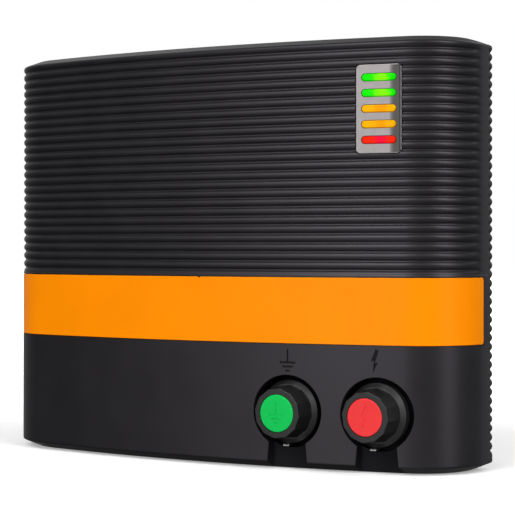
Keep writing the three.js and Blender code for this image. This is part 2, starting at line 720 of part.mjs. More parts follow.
function rearShell() {
  const flange = carried(outlineShape(flangeOutline(0, true)), SHELL_FRONT, FLANGE_BACK);
  const tub = join(tubBlock(0, SHELL_FRONT, SHELL_BACK), tubFeet());
  const hollow = tubBlock(SHELL_WALL, SHELL_FRONT - 1, SHELL_BACK - SHELL_WALL);
  const shell = cut(join(flange, tub), hollow);
  const postFront = BOARD.front + BOARD.thickness + GAP;
  const posts = postPlaces().map(([x, z]) => rodY(POST.radius, postFront, SHELL_BACK - 1, x, z, 12));
  const inletX = -TUB.halfWidth;
  return cut(
    join(shell, ...posts, keyholeBlock(-1), keyholeBlock(1)),
    ...[-1, 1].flatMap((side) => [keyholeSkinCut(side), keyholeHollow(side)]),
    ...postPlaces().map(([x, z]) => rodY(POST.hole, postFront - 1, SHELL_BACK - POST.holeEnd, x, z, 10)),
    sealGroove(),
    ...screwPlaces().map(([x, z]) => rodY(SCREW.hole, SHELL_FRONT - 1, FLANGE_BACK + 1, x, z, 12)),
    rodX(INLET.neck + GAP, inletX - 1, inletX + 2 * SHELL_WALL, INLET.y, INLET.z, 20),
  );
}

add('rear_shell', rearShell(), CASE_BLACK, 0.6);

function caseSeal() {
  const outer = flangeOutline(SEAL.inset, false);
  const inner = flangeOutline(SEAL.inset + SEAL.width, false);
  return carried(outlineShape(outer, inner), SHELL_FRONT, SHELL_FRONT + SEAL.thickness);
}

add('case_seal', caseSeal(), RUBBER, 0.9);

// Slotted pan-head screws; direction +1 points the head towards the back.
function screwY(x, z, seatY, direction, size) {
  const { radius, headRadius, headHeight, tipY } = size;
  const top = seatY + direction * headHeight;
  const head = turnedY([
    [0, seatY],
    [headRadius, seatY],
    [headRadius, seatY + direction * headHeight * 0.6],
    [headRadius * 0.7, top],
    [0, top],
  ], x, z, 12);
  const start = seatY + direction;
  const shank = rodY(radius, Math.min(start, tipY), Math.max(start, tipY), x, z, 8);
  const slotBottom = top - direction * headHeight * 0.4;
  const slotY = [slotBottom, top + direction].sort((a, b) => a - b);
  const arm = headRadius * 0.6;
  const halfSlot = 0.5;
  return cut(join(head, shank), box(x - arm, x + arm, ...slotY, z - halfSlot, z + halfSlot));
}

screwPlaces().forEach(([x, z], place) => {
  add(`case_screw_${place + 1}`, screwY(x, z, FLANGE_BACK + GAP, 1, SCREW), PLATED, 0.35, 0.9);
});

// Supply-lead grommet: a waisted rubber ring held in the tub's side wall.
function inletGrommet() {
  const outside = -TUB.halfWidth - INLET_NECK.outside;
  const inside = -TUB.halfWidth + SHELL_WALL + INLET_NECK.inside;
  const points = [
    [INLET.hole, outside - INLET.lipThickness],
    [INLET.lip - INLET.edge, outside - INLET.lipThickness],
    [INLET.lip, outside],
    [INLET.neck, outside],
    [INLET.neck, inside],
    [INLET.lip, inside],
    [INLET.lip - INLET.edge, inside + INLET.lipThickness],
    [INLET.hole, inside + INLET.lipThickness],
    [INLET.hole, outside - INLET.lipThickness],
  ].map(([radius, x]) => new THREE.Vector2(radius, -x));
  return new THREE.LatheGeometry(points, 20).rotateZ(Math.PI / 2).translate(0, INLET.y, INLET.z);
}

add('inlet_grommet', inletGrommet(), RUBBER, 0.9);

// ---------------------------------------------------------------- electronics

function mainBoard() {
  const back = BOARD.front + BOARD.thickness;
  const board = box(BOARD.left, BOARD.right, BOARD.front, back, BOARD.bottom, BOARD.top);
  const holes = postPlaces().map(([x, z]) => rodY(POST.hole, BOARD.front - 1, back + 1, x, z, 10));
  return cut(board, ...holes);
}

add('main_board', mainBoard(), BOARD_GREEN, 0.5);

postPlaces().forEach(([x, z], place) => {
  add(`board_screw_${place + 1}`, screwY(x, z, BOARD.front - GAP, -1, BOARD_SCREW), PLATED, 0.35, 0.9);
});

// Film capacitors that store each pulse
CAPACITOR_HEIGHTS.forEach((z, place) => {
  const body = box(CAPACITOR.left, CAPACITOR.right, CAPACITOR.front, COMPONENT_BACK,
    z - CAPACITOR.halfHeight, z + CAPACITOR.halfHeight);
  add(`storage_capacitor_${place + 1}`, body, 0x2c57a0, 0.45);
});

// A laminated core with a centre leg, and the coil on that leg.
function transformerCore({ x, z, width, height, leg, yoke, front, back }) {
  const halfWindow = height / 2 - yoke;
  const windowEnd = (width - leg) / 2;
  const windows = [-1, 1].map((side) => {
    const [from, to] = [side * (leg / 2), side * windowEnd].sort((a, b) => a - b);
    return box(x + from, x + to, front - 1, back + 1, z - halfWindow, z + halfWindow);
  });
  const block = box(x - width / 2, x + width / 2, front, back, z - height / 2, z + height / 2);
  return cut(block, ...windows);
}

function transformerCoil({ x, z, width, height, leg, yoke, front, back, overhang }) {
  const reach = (width - leg) / 2 - GAP;
  const halfHeight = height / 2 - yoke - GAP;
  const coil = box(x - reach, x + reach, front - overhang, back + overhang, z - halfHeight, z + halfHeight);
  const halfHole = leg / 2 + GAP;
  return cut(coil, box(x - halfHole, x + halfHole, front - GAP, back + GAP, z - height, z + height));
}

add('pulse_transformer_core', transformerCore(PULSE_TRANSFORMER), FERRITE, 0.6, 0.3);
add('pulse_transformer_coil', transformerCoil(PULSE_TRANSFORMER), COPPER, 0.45, 0.4);
add('supply_transformer_core', transformerCore(SUPPLY_TRANSFORMER), FERRITE, 0.6, 0.3);
add('supply_transformer_coil', transformerCoil(SUPPLY_TRANSFORMER), 0xd9b23a, 0.5);

// The heat sink: fins that stand forward from a base plate
function heatSink() {
  const { left, right, bottom, top, front, base } = HEAT_SINK;
  const fins = [];
  for (let fin = 0; fin < FIN.count; fin += 1) {
    const x = left + fin * FIN.pitch;
    fins.push(box(x, x + FIN.thickness, front, base + 1, bottom, top));
  }
  return join(box(left, right, base, COMPONENT_BACK, bottom, top), ...fins);
}

add('heat_sink', heatSink(), 0x9a9da1, 0.4, 0.8);

const thyristor = box(THYRISTOR.left, THYRISTOR.right, THYRISTOR.front, COMPONENT_BACK,
  THYRISTOR.bottom, THYRISTOR.top);
add('thyristor', thyristor, RUBBER, 0.5);

// Cartridge fuse lying between its holder's ends, and the surge absorber below
function fuseHolder() {
  const { left, right, bottom, top, front, base, end } = FUSE_HOLDER;
  const plate = box(left, right, base, COMPONENT_BACK, bottom, top);
  const ends = [left, right - end].map((x) => box(x, x + end, front, base + 1, bottom, top));
  return join(plate, ...ends);
}

function fuse() {
  const inside = FUSE_HOLDER.end + GAP;
  const z = (FUSE_HOLDER.bottom + FUSE_HOLDER.top) / 2;
  return rodX(FUSE.radius, FUSE_HOLDER.left + inside, FUSE_HOLDER.right - inside, FUSE.y, z, 14);
}

const absorber = rodY(ABSORBER.radius, ABSORBER.front, COMPONENT_BACK, ABSORBER.x, ABSORBER.z, 20);

add('fuse_holder', fuseHolder(), RUBBER, 0.5);
add('fuse', fuse(), 0xd8d9d2, 0.2, 0.3);
add('surge_absorber', absorber, 0x274f9e, 0.5);

export default energizer;
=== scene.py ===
from math import asin, atan2, cos, pi, radians, sin, sqrt, tan

import bmesh
import bpy
from mathutils import Matrix, Vector


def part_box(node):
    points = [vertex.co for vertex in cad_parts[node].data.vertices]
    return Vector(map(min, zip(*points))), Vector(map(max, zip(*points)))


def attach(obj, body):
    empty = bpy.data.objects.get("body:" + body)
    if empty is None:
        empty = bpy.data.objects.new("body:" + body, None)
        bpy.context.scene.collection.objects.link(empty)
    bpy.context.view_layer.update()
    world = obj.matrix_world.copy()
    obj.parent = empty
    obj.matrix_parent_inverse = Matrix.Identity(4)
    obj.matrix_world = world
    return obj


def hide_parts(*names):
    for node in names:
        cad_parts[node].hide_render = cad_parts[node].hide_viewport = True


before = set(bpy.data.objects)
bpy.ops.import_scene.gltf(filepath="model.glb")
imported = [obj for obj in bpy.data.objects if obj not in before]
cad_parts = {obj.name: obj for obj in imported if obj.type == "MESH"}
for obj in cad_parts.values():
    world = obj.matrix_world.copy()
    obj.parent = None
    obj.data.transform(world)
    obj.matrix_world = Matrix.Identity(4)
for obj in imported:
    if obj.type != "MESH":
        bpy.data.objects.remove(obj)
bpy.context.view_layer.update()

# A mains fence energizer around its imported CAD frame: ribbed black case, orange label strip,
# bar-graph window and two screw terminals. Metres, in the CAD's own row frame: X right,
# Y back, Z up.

scene = bpy.context.scene

# ---- driving dimensions

MM = 0.001
GAP = 0.3 * MM
SHARP_ANGLE = radians(32)

cover_low, cover_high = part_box("front_cover")
label_low, label_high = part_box("label_strip")

# Case outline, seen from above: a shallow bow, two round corners and short straight sides
FRONT_Y = cover_low.y
HALF_WIDTH = cover_high.x
CASE_HEIGHT = cover_high.z
COVER_BACK = cover_high.y
BOW_RADIUS = 612.8 * MM
CORNER_RADIUS = 39 * MM
BEVEL_WIDTH = 9.6 * MM
BEVEL_HEIGHT = 3.9 * MM
TOP_BEVEL_HEIGHT = 3.35 * MM
TOP_ROUND = 1.75 * MM
COVER_WALL = 5 * MM
CORNER_X = HALF_WIDTH - CORNER_RADIUS
BOW_END = asin(CORNER_X / (BOW_RADIUS - CORNER_RADIUS))
BOW_EDGE = CORNER_X + CORNER_RADIUS * sin(BOW_END)
CORNER_Y = FRONT_Y + BOW_RADIUS - (BOW_RADIUS - CORNER_RADIUS) * cos(BOW_END)
BOW_STEPS = 24
CORNER_STEPS = 22
PLAIN_CORNER_STEPS = 10
CROWN_ROUND = 0.8 * MM
FOOT_ROUND = 1.2 * MM
RECESS_START = 0.3 * MM  # how far the plastic is sunk where it turns matt
RECESS_FULL = 0.6 * MM

# Grip ribs: wide round crests and narrow round valleys
RIB_PITCH = 4.84 * MM
GROOVE_COUNT = 25
TOP_GROOVE_Z = CASE_HEIGHT - 7 * MM
CREST_INSET = 0.4 * MM
RIB_DEPTH = 1.15 * MM
VALLEY_RADIUS = 0.7 * MM
RIB_FADE = (radians(71), radians(83))

# Label strip in its recess
LABEL_BOTTOM = label_low.z
LABEL_TOP = label_high.z
LABEL_INSET = 0.1 * MM
LABEL_THICKNESS = 1.1 * MM
LABEL_END = radians(85)
LABEL_END_ROUND = 1.3 * MM

# Bar-graph window
WINDOW_X = 104.95 * MM
WINDOW_Z = 191.4 * MM
WINDOW_HALF_WIDTH = 12.5 * MM
WINDOW_HALF_HEIGHT = 23.45 * MM
WINDOW_CORNER = 2.4 * MM
WINDOW_THICKNESS = 5 * MM
WINDOW_FLANGE = 2.5 * MM
WINDOW_SLOPE = 4.5 * MM
WINDOW_DROP = 1.9 * MM
WINDOW_LIP = 0.55 * MM
WINDOW_ROUND = 10 * MM
BAR_HALF_WIDTH = 9.25 * MM
BAR_HALF_HEIGHT = 1.9 * MM
BAR_CORNER = 1.8 * MM
BAR_DEPTH = 8.4 * MM
BAR_PITCH = 8.2 * MM
TOP_BAR_Z = 208 * MM
BAR_SLOTS = ["bar_green", "bar_green", "bar_amber", "bar_amber", "bar_red"]

# Screw terminals
TERMINAL_X = {"earth": 54 * MM, "fence": 104.1 * MM}
TERMINAL_Z = 31 * MM
CAP_SLOTS = {"earth": "cap_green", "fence": "cap_red"}
POCKET_RADIUS = 19.55 * MM
POCKET_WALL = 3 * MM
POCKET_DEPTH = 24.9 * MM  # depths in a terminal are measured from the cap's front
FLOOR_THICKNESS = 3.5 * MM
RIM_ROUND = 0.4 * MM
CHANNEL_TOP_HALF = 10.3 * MM
CHANNEL_BOTTOM_HALF = 12 * MM
CHANNEL_TOP_Z = 16 * MM
CHANNEL_DEPTH = 5 * MM
CHANNEL_BACKING = 4 * MM
CHANNEL_LEAN = 0.35
STUD_HOLE = 4.4 * MM

# Knob
KNOB_SIDES = 12
KNOB_TURN = radians(6.5)
KNOB_FRONT_RADIUS = 13.4 * MM
KNOB_BASE_RADIUS = 14.7 * MM
KNOB_FRONT = 0.4 * MM
FLANGE_START = 12.7 * MM
FLANGE_EDGE = 14.7 * MM
KNOB_BACK = 19 * MM
KNOB_FLANGE_RADIUS = 17 * MM
CAP_RADIUS = 9.95 * MM
CAP_THICKNESS = 2 * MM
INSERT_RADIUS = 7 * MM
INSERT_FRONT = 6.5 * MM
INSERT_BORE = 4.3 * MM

# Clamp washer
CLAMP_RADIUS = 12 * MM
CLAMP_THICKNESS = 1.6 * MM
ARM_THICKNESS = 1.2 * MM
ARM_OFFSET = 2 * MM
LIP_HEIGHT = 1.5 * MM

# Rear shell
SHELL_FRONT = COVER_BACK + GAP
FLANGE_THICKNESS = 4.9 * MM
SHELL_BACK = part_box("rear_shell")[1].y
SHELL_WALL = 4 * MM
TUB_HALF_WIDTH = 131 * MM
TUB_TOP = 214 * MM
TUB_DRAFT = 2 * MM
TUB_CORNER = 12 * MM
TUB_FOOT_CORNER = 1.5 * MM

SCREW_PLACES = [(side * 140 * MM, z * MM) for z in (14, 115, 214) for side in (-1, 1)]
SCREW_BOSS = 5.2 * MM
SCREW_HOLE = 2.2 * MM
SCREW_HOLE_DEPTH = 12.8 * MM
BOARD_POST = 4 * MM
BOARD_SCREW_HOLE = 1.7 * MM
SEAL_OUTSET = 2.2 * MM
SEAL_INSET = 4.2 * MM
INLET_HOLE = 6.7 * MM

terminal_front = {name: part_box(f"{name}_knob_cap")[0].y for name in TERMINAL_X}

# ---- mesh tools


def centre_of(node):
    low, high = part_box(node)
    return (low + high) / 2


def mesh_object(name, vertices, faces):
    mesh = bpy.data.meshes.new(name)
    mesh.from_pydata([tuple(v) for v in vertices], [], faces)
    shape = bmesh.new()
    shape.from_mesh(mesh)
    bmesh.ops.recalc_face_normals(shape, faces=shape.faces)
    shape.to_mesh(mesh)
    shape.free()
    obj = bpy.data.objects.new(name, mesh)
    scene.collection.objects.link(obj)
    return obj


def loft(name, rings, closed=False):
    """A closed body through rings of equal point counts. closed joins the last ring to the first."""
    count = len(rings[0])
    vertices = [point for ring in rings for point in ring]
    faces = []
    for index in range(len(rings) if closed else len(rings) - 1):
        here = index * count
        there = (index + 1) % len(rings) * count
        for i in range(count):
            j = (i + 1) % count
            faces.append((here + i, here + j, there + j, there + i))
    if not closed:
        faces.append(tuple(reversed(range(count))))
        faces.append(tuple(range(len(vertices) - count, len(vertices))))
    return mesh_object(name, vertices, faces)


def filleted(points, closed=False, steps=4):
    """Corners (a, b, radius) as a chain of (a, b), with each corner rounded by its radius."""
    chain = []
    for i, (a, b, radius) in enumerate(points):
        corner = Vector((a, b))
        at_end = not closed and i in (0, len(points) - 1)
        if radius == 0 or at_end:
            chain.append((a, b))
            continue
        before = (Vector(points[i - 1][:2]) - corner).normalized()
        after = (Vector(points[(i + 1) % len(points)][:2]) - corner).normalized()
        half = before.angle(after) / 2
        centre = corner + (before + after).normalized() * radius / sin(half)
        start = corner + before * radius / tan(half) - centre
        end = corner + after * radius / tan(half) - centre
        for step in range(steps + 1):
            spoke = start.lerp(end, step / steps).normalized() * radius
            chain.append(tuple(centre + spoke))
    return chain


def spread(outline, margin):
    """A closed outline moved outwards by margin, corner by corner."""
    area = sum(a[0] * b[1] - b[0] * a[1] for a, b in zip(outline, outline[1:] + outline[:1]))
    outwards = margin if area > 0 else -margin
    moved = []
    for i, point in enumerate(outline):
        here = Vector(point)
        before = (here - Vector(outline[i - 1])).normalized()
        after = (Vector(outline[(i + 1) % len(outline)]) - here).normalized()
        along = (before + after).normalized()
        normal = Vector((along.y, -along.x))
        stretch = max(along.dot(after), 0.3)
        moved.append(tuple(here + normal * outwards / stretch))
    return moved


def slab(name, outline, profile, matrix=None):
    """A body from an X-Z outline carried back through (y, margin) steps."""
    rings = []
    for y, margin in profile:
        ring = [Vector((x, y, z)) for x, z in spread(outline, margin)]
        rings.append([matrix @ point for point in ring] if matrix else ring)
    return loft(name, rings)


def soft_edged(front, back, radius):
    """(y, margin) steps of a plate whose front and back edges are rounded."""
    corners = [(front, -2 * radius, 0), (front, 0, radius), (back, 0, radius), (back, -2 * radius, 0)]
    return filleted(corners, steps=3)


def rectangle(x0, z0, x1, z1, radius, steps=4):
    corners = [(x0, z0, radius), (x1, z0, radius), (x1, z1, radius), (x0, z1, radius)]
    return filleted(corners, closed=True, steps=steps)


def arc(x, z, radius, start, end, steps):
    """Points clockwise round (x, z) from one angle to another, 0 being straight up."""
    angles = [start + (end - start) * step / steps for step in range(steps + 1)]
    return [(x + radius * sin(angle), z + radius * cos(angle)) for angle in angles]


def circle(x, z, radius, sides):
    return arc(x, z, radius, 0, 2 * pi, sides)[:-1]


def turned(name, profile, x, z, sides, closed=False):
    """A body turned about a line along Y from (radius, y) steps."""
    rings = [[(px, y, pz) for px, pz in circle(x, z, radius, sides)] for radius, y in profile]
    return loft(name, rings, closed)


def rod(name, x, z, radius, front, back, sides=32):
    return turned(name, [(radius, front), (radius, back)], x, z, sides)


def block(name, x0, x1, y0, y1, z0, z1):
    return slab(name, rectangle(x0, z0, x1, z1, 0), [(y0, 0), (y1, 0)])


def combine(operation, obj, tools):
    """Joins, cuts or intersects obj with each tool in turn, and deletes the tool."""
    for tool in tools:
        modifier = obj.modifiers.new("combine", "BOOLEAN")
        modifier.operation = operation
        modifier.solver = "MANIFOLD"
        modifier.object = tool
        depsgraph = bpy.context.evaluated_depsgraph_get()
        mesh = bpy.data.meshes.new_from_object(obj.evaluated_get(depsgraph))
        obj.modifiers.clear()
        obj.data = mesh
        bpy.data.objects.remove(tool)
    return obj


def join(obj, *tools):
    return combine("UNION", obj, tools)


def cut(obj, *tools):
    return combine("DIFFERENCE", obj, tools)


def common(obj, *tools):
    return combine("INTERSECT", obj, tools)


def finish(obj, body, slot, node):
    """Shades, paints and mounts a finished piece that stands for a CAD node."""
    shape = bmesh.new()
    shape.from_mesh(obj.data)
    bmesh.ops.remove_doubles(shape, verts=shape.verts, dist=0.002 * MM)
    bmesh.ops.dissolve_degenerate(shape, edges=shape.edges, dist=0.001 * MM)
    for face in shape.faces:
        face.smooth = True
    for edge in shape.edges:
        edge.smooth = edge.is_manifold and edge.calc_face_angle() < SHARP_ANGLE
    shape.to_mesh(obj.data)
    shape.free()
    normals = obj.modifiers.new("even_normals", "WEIGHTED_NORMAL")
    normals.keep_sharp = True
    obj.data.materials.clear()
    obj.data.materials.append(MATERIALS[slot])
    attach(obj, body)
    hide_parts(node)
    return obj


# ---- materials

MATERIALS = {}
WAVE_PITCH = 0.314  # metres between the wave texture's bands at a scale of 1


def new_material(name):
    material = bpy.data.materials.new(name)
    material.use_nodes = True
    MATERIALS[name] = material
    return material.node_tree, material.node_tree.nodes["Principled BSDF"]


def feed(tree, node, inputs):
    """Sets each input to its value, or links it where the value is another node's output."""
    for key, value in inputs.items():
        if isinstance(value, bpy.types.NodeSocket):
            tree.links.new(value, node.inputs[key])
        else:
            node.inputs[key].default_value = value


def add_node(tree, kind, inputs, **settings):
    """A new shader node's outputs, with its settings made before its inputs are fed."""
    node = tree.nodes.new("ShaderNode" + kind)
    for key, value in settings.items():
        setattr(node, key, value)
    feed(tree, node, inputs)
    return node.outputs


def position(tree):
    return add_node(tree, "TexCoord", {})["Object"]


def axes(tree, vector):
    return add_node(tree, "SeparateXYZ", {"Vector": vector})


def add_noise(tree, size, detail=2, stretch=(1, 1, 1)):
    """Noise whose features are about size metres across, stretched along the axes."""
    scaled = {"Vector": position(tree), "Scale": [1 / share for share in stretch]}
    vector = add_node(tree, "Mapping", scaled)["Vector"]
    return add_node(tree, "TexNoise", {"Vector": vector, "Scale": 1 / size, "Detail": detail})["Fac"]


def add_bands(tree, pitch, axis):
    """Slightly uneven bands a pitch apart along an axis."""
    inputs = {"Vector": position(tree), "Scale": WAVE_PITCH / pitch, "Distortion": 0.4, "Detail Scale": 20}
    return add_node(tree, "TexWave", inputs, bands_direction=axis)["Fac"]


def ramp(tree, source, start, end, low, high, shape="SMOOTHSTEP"):
    """The source's value from start to end spread from low to high."""
    inputs = {"Value": source, "From Min": start, "From Max": end, "To Min": low, "To Max": high}
    return add_node(tree, "MapRange", inputs, interpolation_type=shape)["Result"]


def evenly(tree, source, low, high):
    """A noise's middle range spread evenly from low to high."""
    return ramp(tree, source, 0.3, 0.7, low, high, "LINEAR")


def maths(tree, operation, *operands):
    """A maths node's result from links or numbers."""
    return add_node(tree, "Math", dict(enumerate(operands)), operation=operation)["Value"]


def bumps(tree, *heights):
    """A normal bent by each (height source, depth in metres) in turn."""
    inputs = {}
    for source, depth in heights:
        inputs = {"Height": source, "Distance": depth, **inputs}
        inputs = {"Normal": add_node(tree, "Bump", inputs)["Normal"]}
    return inputs["Normal"]


def blend(tree, factor, start, end):
    """From one colour to another by a factor."""
    inputs = {"Factor": factor, "A": [*start, 1], "B": [*end, 1]}
    return add_node(tree, "Mix", inputs, data_type="RGBA")["Result"]


def varied(tree, source, colour, variation):
    """A colour made darker and lighter by the source."""
    darker = [c * (1 - variation) for c in colour]
    lighter = [min(c * (1 + variation), 1) for c in colour]
    return blend(tree, source, darker, lighter)


def moulded(name, colour, roughness, grain=0.35 * MM, depth=0.012 * MM, gloss=0.3, variation=0.12,
            sheen=(1, 1, 1)):
    """A moulded plastic: fine texture from the tool, and soft changes of colour and gloss."""
    tree, shader = new_material(name)
    patches = add_noise(tree, 18 * MM, 3)
    feed(tree, shader, {
        "Base Color": varied(tree, evenly(tree, patches, 0, 1), colour, variation),
        "Roughness": evenly(tree, patches, roughness * 0.92, roughness * 1.08),
        "Specular IOR Level": gloss,
        "Specular Tint": [*sheen, 1],
        "Normal": bumps(tree, (add_noise(tree, grain, 3), depth)),
    })
    return tree, shader


def cover_plastic(name):
    """The case's plastic, left matt inside what is sunk into the cover's lower front."""
    gloss = 0.3
    matt_gloss = 0.02
    tree, shader = moulded(name, (0.0105, 0.0098, 0.0114), 0.3, depth=0.004 * MM, gloss=gloss,
                           sheen=(0.97, 0.91, 1))
    at = axes(tree, position(tree))
    across = maths(tree, "MULTIPLY", at["X"], at["X"])
    ahead = maths(tree, "MULTIPLY_ADD", across, -1 / (2 * BOW_RADIUS), -FRONT_Y)
    sunk_by = maths(tree, "ADD", at["Y"], ahead)
    matt = ramp(tree, sunk_by, RECESS_START, RECESS_FULL, 0, 1)
    limits = [
        (at["Z"], LABEL_BOTTOM - 3 * MM, LABEL_BOTTOM - 2 * MM),
        (across, (BOW_EDGE - 1.5 * MM) ** 2, (BOW_EDGE - 0.5 * MM) ** 2),
        (at["Y"], COVER_BACK - 8 * MM, COVER_BACK - 6 * MM),
    ]
    for source, start, end in limits:
        matt = maths(tree, "MULTIPLY", matt, ramp(tree, source, start, end, 1, 0))
    feed(tree, shader, {"Specular IOR Level": ramp(tree, matt, 0, 1, gloss, matt_gloss)})


def metal(name, colour, roughness, stretch=(1, 1, 1), thread=None):
    """A plated, turned or drawn metal, with scratches along the stretched axis. A thread is
    (pitch, axis, depth) of the turned bands on it."""
    tree, shader = new_material(name)
    scratches = add_noise(tree, 0.5 * MM, 4, stretch)
    heights = [(scratches, 0.006 * MM)]
    if thread:
        pitch, axis, depth = thread
        heights.append((add_bands(tree, pitch, axis), depth))
    feed(tree, shader, {
        "Base Color": varied(tree, evenly(tree, scratches, 0, 1), colour, 0.1),
        "Roughness": evenly(tree, scratches, roughness * 0.75, roughness * 1.25),
        "Metallic": 1,
        "Normal": bumps(tree, *heights),
    })


def banded(name, colour, roughness, pitch, axis, depth, variation=0.25):
    """A stack or winding: dark lines between layers a pitch apart along an axis."""
    tree, shader = new_material(name)
    layers = add_bands(tree, pitch, axis)
    rough_by = add_noise(tree, 3 * MM)
    feed(tree, shader, {
        "Base Color": varied(tree, layers, colour, variation),
        "Roughness": evenly(tree, rough_by, roughness * 0.85, roughness * 1.15),
        "Normal": bumps(tree, (layers, depth), (add_noise(tree, 0.4 * MM), 0.01 * MM)),
    })


def label_film(name):
    """Glossy orange print under a clear coat, with a faint ripple in the coat."""
    tree, shader = new_material(name)
    cloud = evenly(tree, add_noise(tree, 40 * MM, 2), 0, 1)
    feed(tree, shader, {
        "Base Color": varied(tree, cloud, (0.9, 0.245, 0), 0.03),
        "Roughness": evenly(tree, add_noise(tree, 2 * MM, 3), 0.26, 0.34),
        "Specular IOR Level": 0.05,
        "Normal": bumps(tree, (add_noise(tree, 6 * MM, 2), 0.004 * MM)),
    })


def metallic_plastic(name):
    """Grey plastic with fine metal flake."""
    tree, shader = new_material(name)
    flake = add_noise(tree, 0.12 * MM, 2)
    feed(tree, shader, {
        "Base Color": varied(tree, evenly(tree, flake, 0, 1), (0.165, 0.155, 0.153), 0.12),
        "Roughness": evenly(tree, add_noise(tree, 5 * MM), 0.18, 0.24),
        "Metallic": 0.9,
        "Normal": bumps(tree, (flake, 0.006 * MM)),
    })


def lit_bar(name, edge, core):
    """A translucent light bar that glows from the edge's colour to the core's over its chip."""
    tree, shader = new_material(name)
    ripple = evenly(tree, add_noise(tree, 3 * MM, 2), -1.5 * MM, 1.5 * MM)
    along = maths(tree, "ADD", axes(tree, position(tree))["X"], ripple)
    rising = ramp(tree, along, WINDOW_X - 5 * MM, WINDOW_X + MM, 0, 1)
    falling = ramp(tree, along, WINDOW_X + 2.5 * MM, WINDOW_X + 7 * MM, 1, 0)
    glow = blend(tree, maths(tree, "MULTIPLY", rising, falling), edge, core)
    feed(tree, shader, {
        "Base Color": glow,
        "Emission Color": glow,
        "Emission Strength": ramp(tree, along, WINDOW_X + 6 * MM, WINDOW_X + 9.3 * MM, 0.4, 0.1),
        "Roughness": 0.3,
        "Specular IOR Level": 0.04,
        "Normal": bumps(tree, (add_noise(tree, 0.6 * MM), 0.01 * MM)),
    })


def board_laminate(name):
    """Green solder mask over copper areas, with the glass weave showing through."""
    tree, shader = new_material(name)
    upright = {"Vector": position(tree), "Rotation": (pi / 2, 0, 0)}
    weave = add_node(tree, "TexBrick", {
        "Vector": add_node(tree, "Mapping", upright)["Vector"],
        "Scale": 60,
        "Color1": (0.02, 0.13, 0.05, 1),
        "Color2": (0.015, 0.1, 0.04, 1),
        "Mortar": (0.06, 0.22, 0.09, 1),
        "Mortar Size": 0.05,
    })
    feed(tree, shader, {
        "Base Color": weave["Color"],
        "Roughness": evenly(tree, add_noise(tree, 4 * MM), 0.3, 0.42),
        "Normal": bumps(tree, (weave["Fac"], 0.03 * MM), (add_noise(tree, 0.5 * MM), 0.01 * MM)),
    })


def glass_tube(name):
    tree, shader = new_material(name)
    feed(tree, shader, {
        "Base Color": varied(tree, add_noise(tree, 3 * MM), (0.8, 0.84, 0.82), 0.05),
        "Roughness": evenly(tree, add_noise(tree, 2 * MM), 0.04, 0.09),
        "Transmission Weight": 0.7,
        "Normal": bumps(tree, (add_noise(tree, 5 * MM), 0.02 * MM)),
    })


cover_plastic("case_plastic")
moulded("knob_plastic", (0.01, 0.0098, 0.0108), 0.32, 0.3 * MM, 0.004 * MM, 0.42)
moulded("cap_green", (0.004, 0.48, 0.08), 0.34, gloss=0.1, variation=0.05)
moulded("cap_red", (0.77, 0.04, 0.043), 0.34, gloss=0.1, variation=0.05)
moulded("seal_rubber", (0.015, 0.015, 0.015), 0.7, 0.5 * MM, 0.02 * MM)
moulded("led_chip", (0.8, 0.78, 0.68), 0.35, variation=0.05)
moulded("capacitor_blue", (0.03, 0.1, 0.38), 0.35, 0.8 * MM, 0.01 * MM)
moulded("absorber_blue", (0.03, 0.09, 0.36), 0.3, 3 * MM, 0.05 * MM)
moulded("black_epoxy", (0.015, 0.015, 0.016), 0.5, 0.25 * MM, 0.015 * MM)
moulded("lead_green", (0.03, 0.3, 0.07), 0.4, MM, 0.01 * MM)
moulded("lead_red", (0.5, 0.02, 0.02), 0.4, MM, 0.01 * MM)
metal("plated_steel", (0.34, 0.34, 0.345), 0.36)
metal("brass", (0.6, 0.42, 0.16), 0.25, thread=(0.4 * MM, "Y", 0.01 * MM))
metal("tinned_copper", (0.7, 0.7, 0.72), 0.3)
metal("heat_sink", (0.5, 0.5, 0.52), 0.35, stretch=(1, 1, 30))
banded("core_iron", (0.06, 0.06, 0.063), 0.5, 0.7 * MM, "Y", 0.06 * MM)
banded("coil_copper", (0.45, 0.17, 0.07), 0.3, 0.8 * MM, "Z", 0.15 * MM)
banded("coil_tape", (0.7, 0.45, 0.04), 0.35, 6 * MM, "Z", 0.04 * MM, 0.1)
label_film("label_orange")
metallic_plastic("window_grey")
lit_bar("bar_green", (0.004, 0.58, 0), (0.15, 0.62, 0.002))
lit_bar("bar_amber", (0.66, 0.3, 0), (0.66, 0.23, 0))
lit_bar("bar_red", (0.6, 0.012, 0.001), (0.62, 0.002, 0.024))
board_laminate("board_laminate")
glass_tube("fuse_glass")

# ---- case outline


def smooth_step(value, start, end):
    t = min(max((value - start) / (end - start), 0), 1)
    return t * t * (3 - 2 * t)


def station(centre_x, centre_y, radius, angle, rib):
    """A place on the outline: its point, its outward normal and how much of a rib it carries."""
    normal = Vector((sin(angle), -cos(angle)))
    return Vector((centre_x, centre_y)) + normal * radius, normal, rib


def mirrored(stations):
    """The left half for a right half that starts on the middle line."""
    flipped = []
    for point, normal, rib in reversed(stations[1:]):
        flipped.append((Vector((-point.x, point.y)), Vector((-normal.x, normal.y)), rib))
    return flipped + stations


def front_stations(angles):
    """The right half of the front, and its corner as far as the angles go."""
    right = []
    for step in range(BOW_STEPS + 1):
        right.append(station(0, FRONT_Y + BOW_RADIUS, BOW_RADIUS, BOW_END * step / BOW_STEPS, 1))
    for angle in angles:
        rib = 1 - smooth_step(angle, *RIB_FADE)
        right.append(station(CORNER_X, CORNER_Y, CORNER_RADIUS, angle, rib))
    return right


def corner_angles(end, steps=CORNER_STEPS):
    """Angles round the corner from the bow's end to the given one."""
    return [BOW_END + (end - BOW_END) * (step + 1) / steps for step in range(steps)]


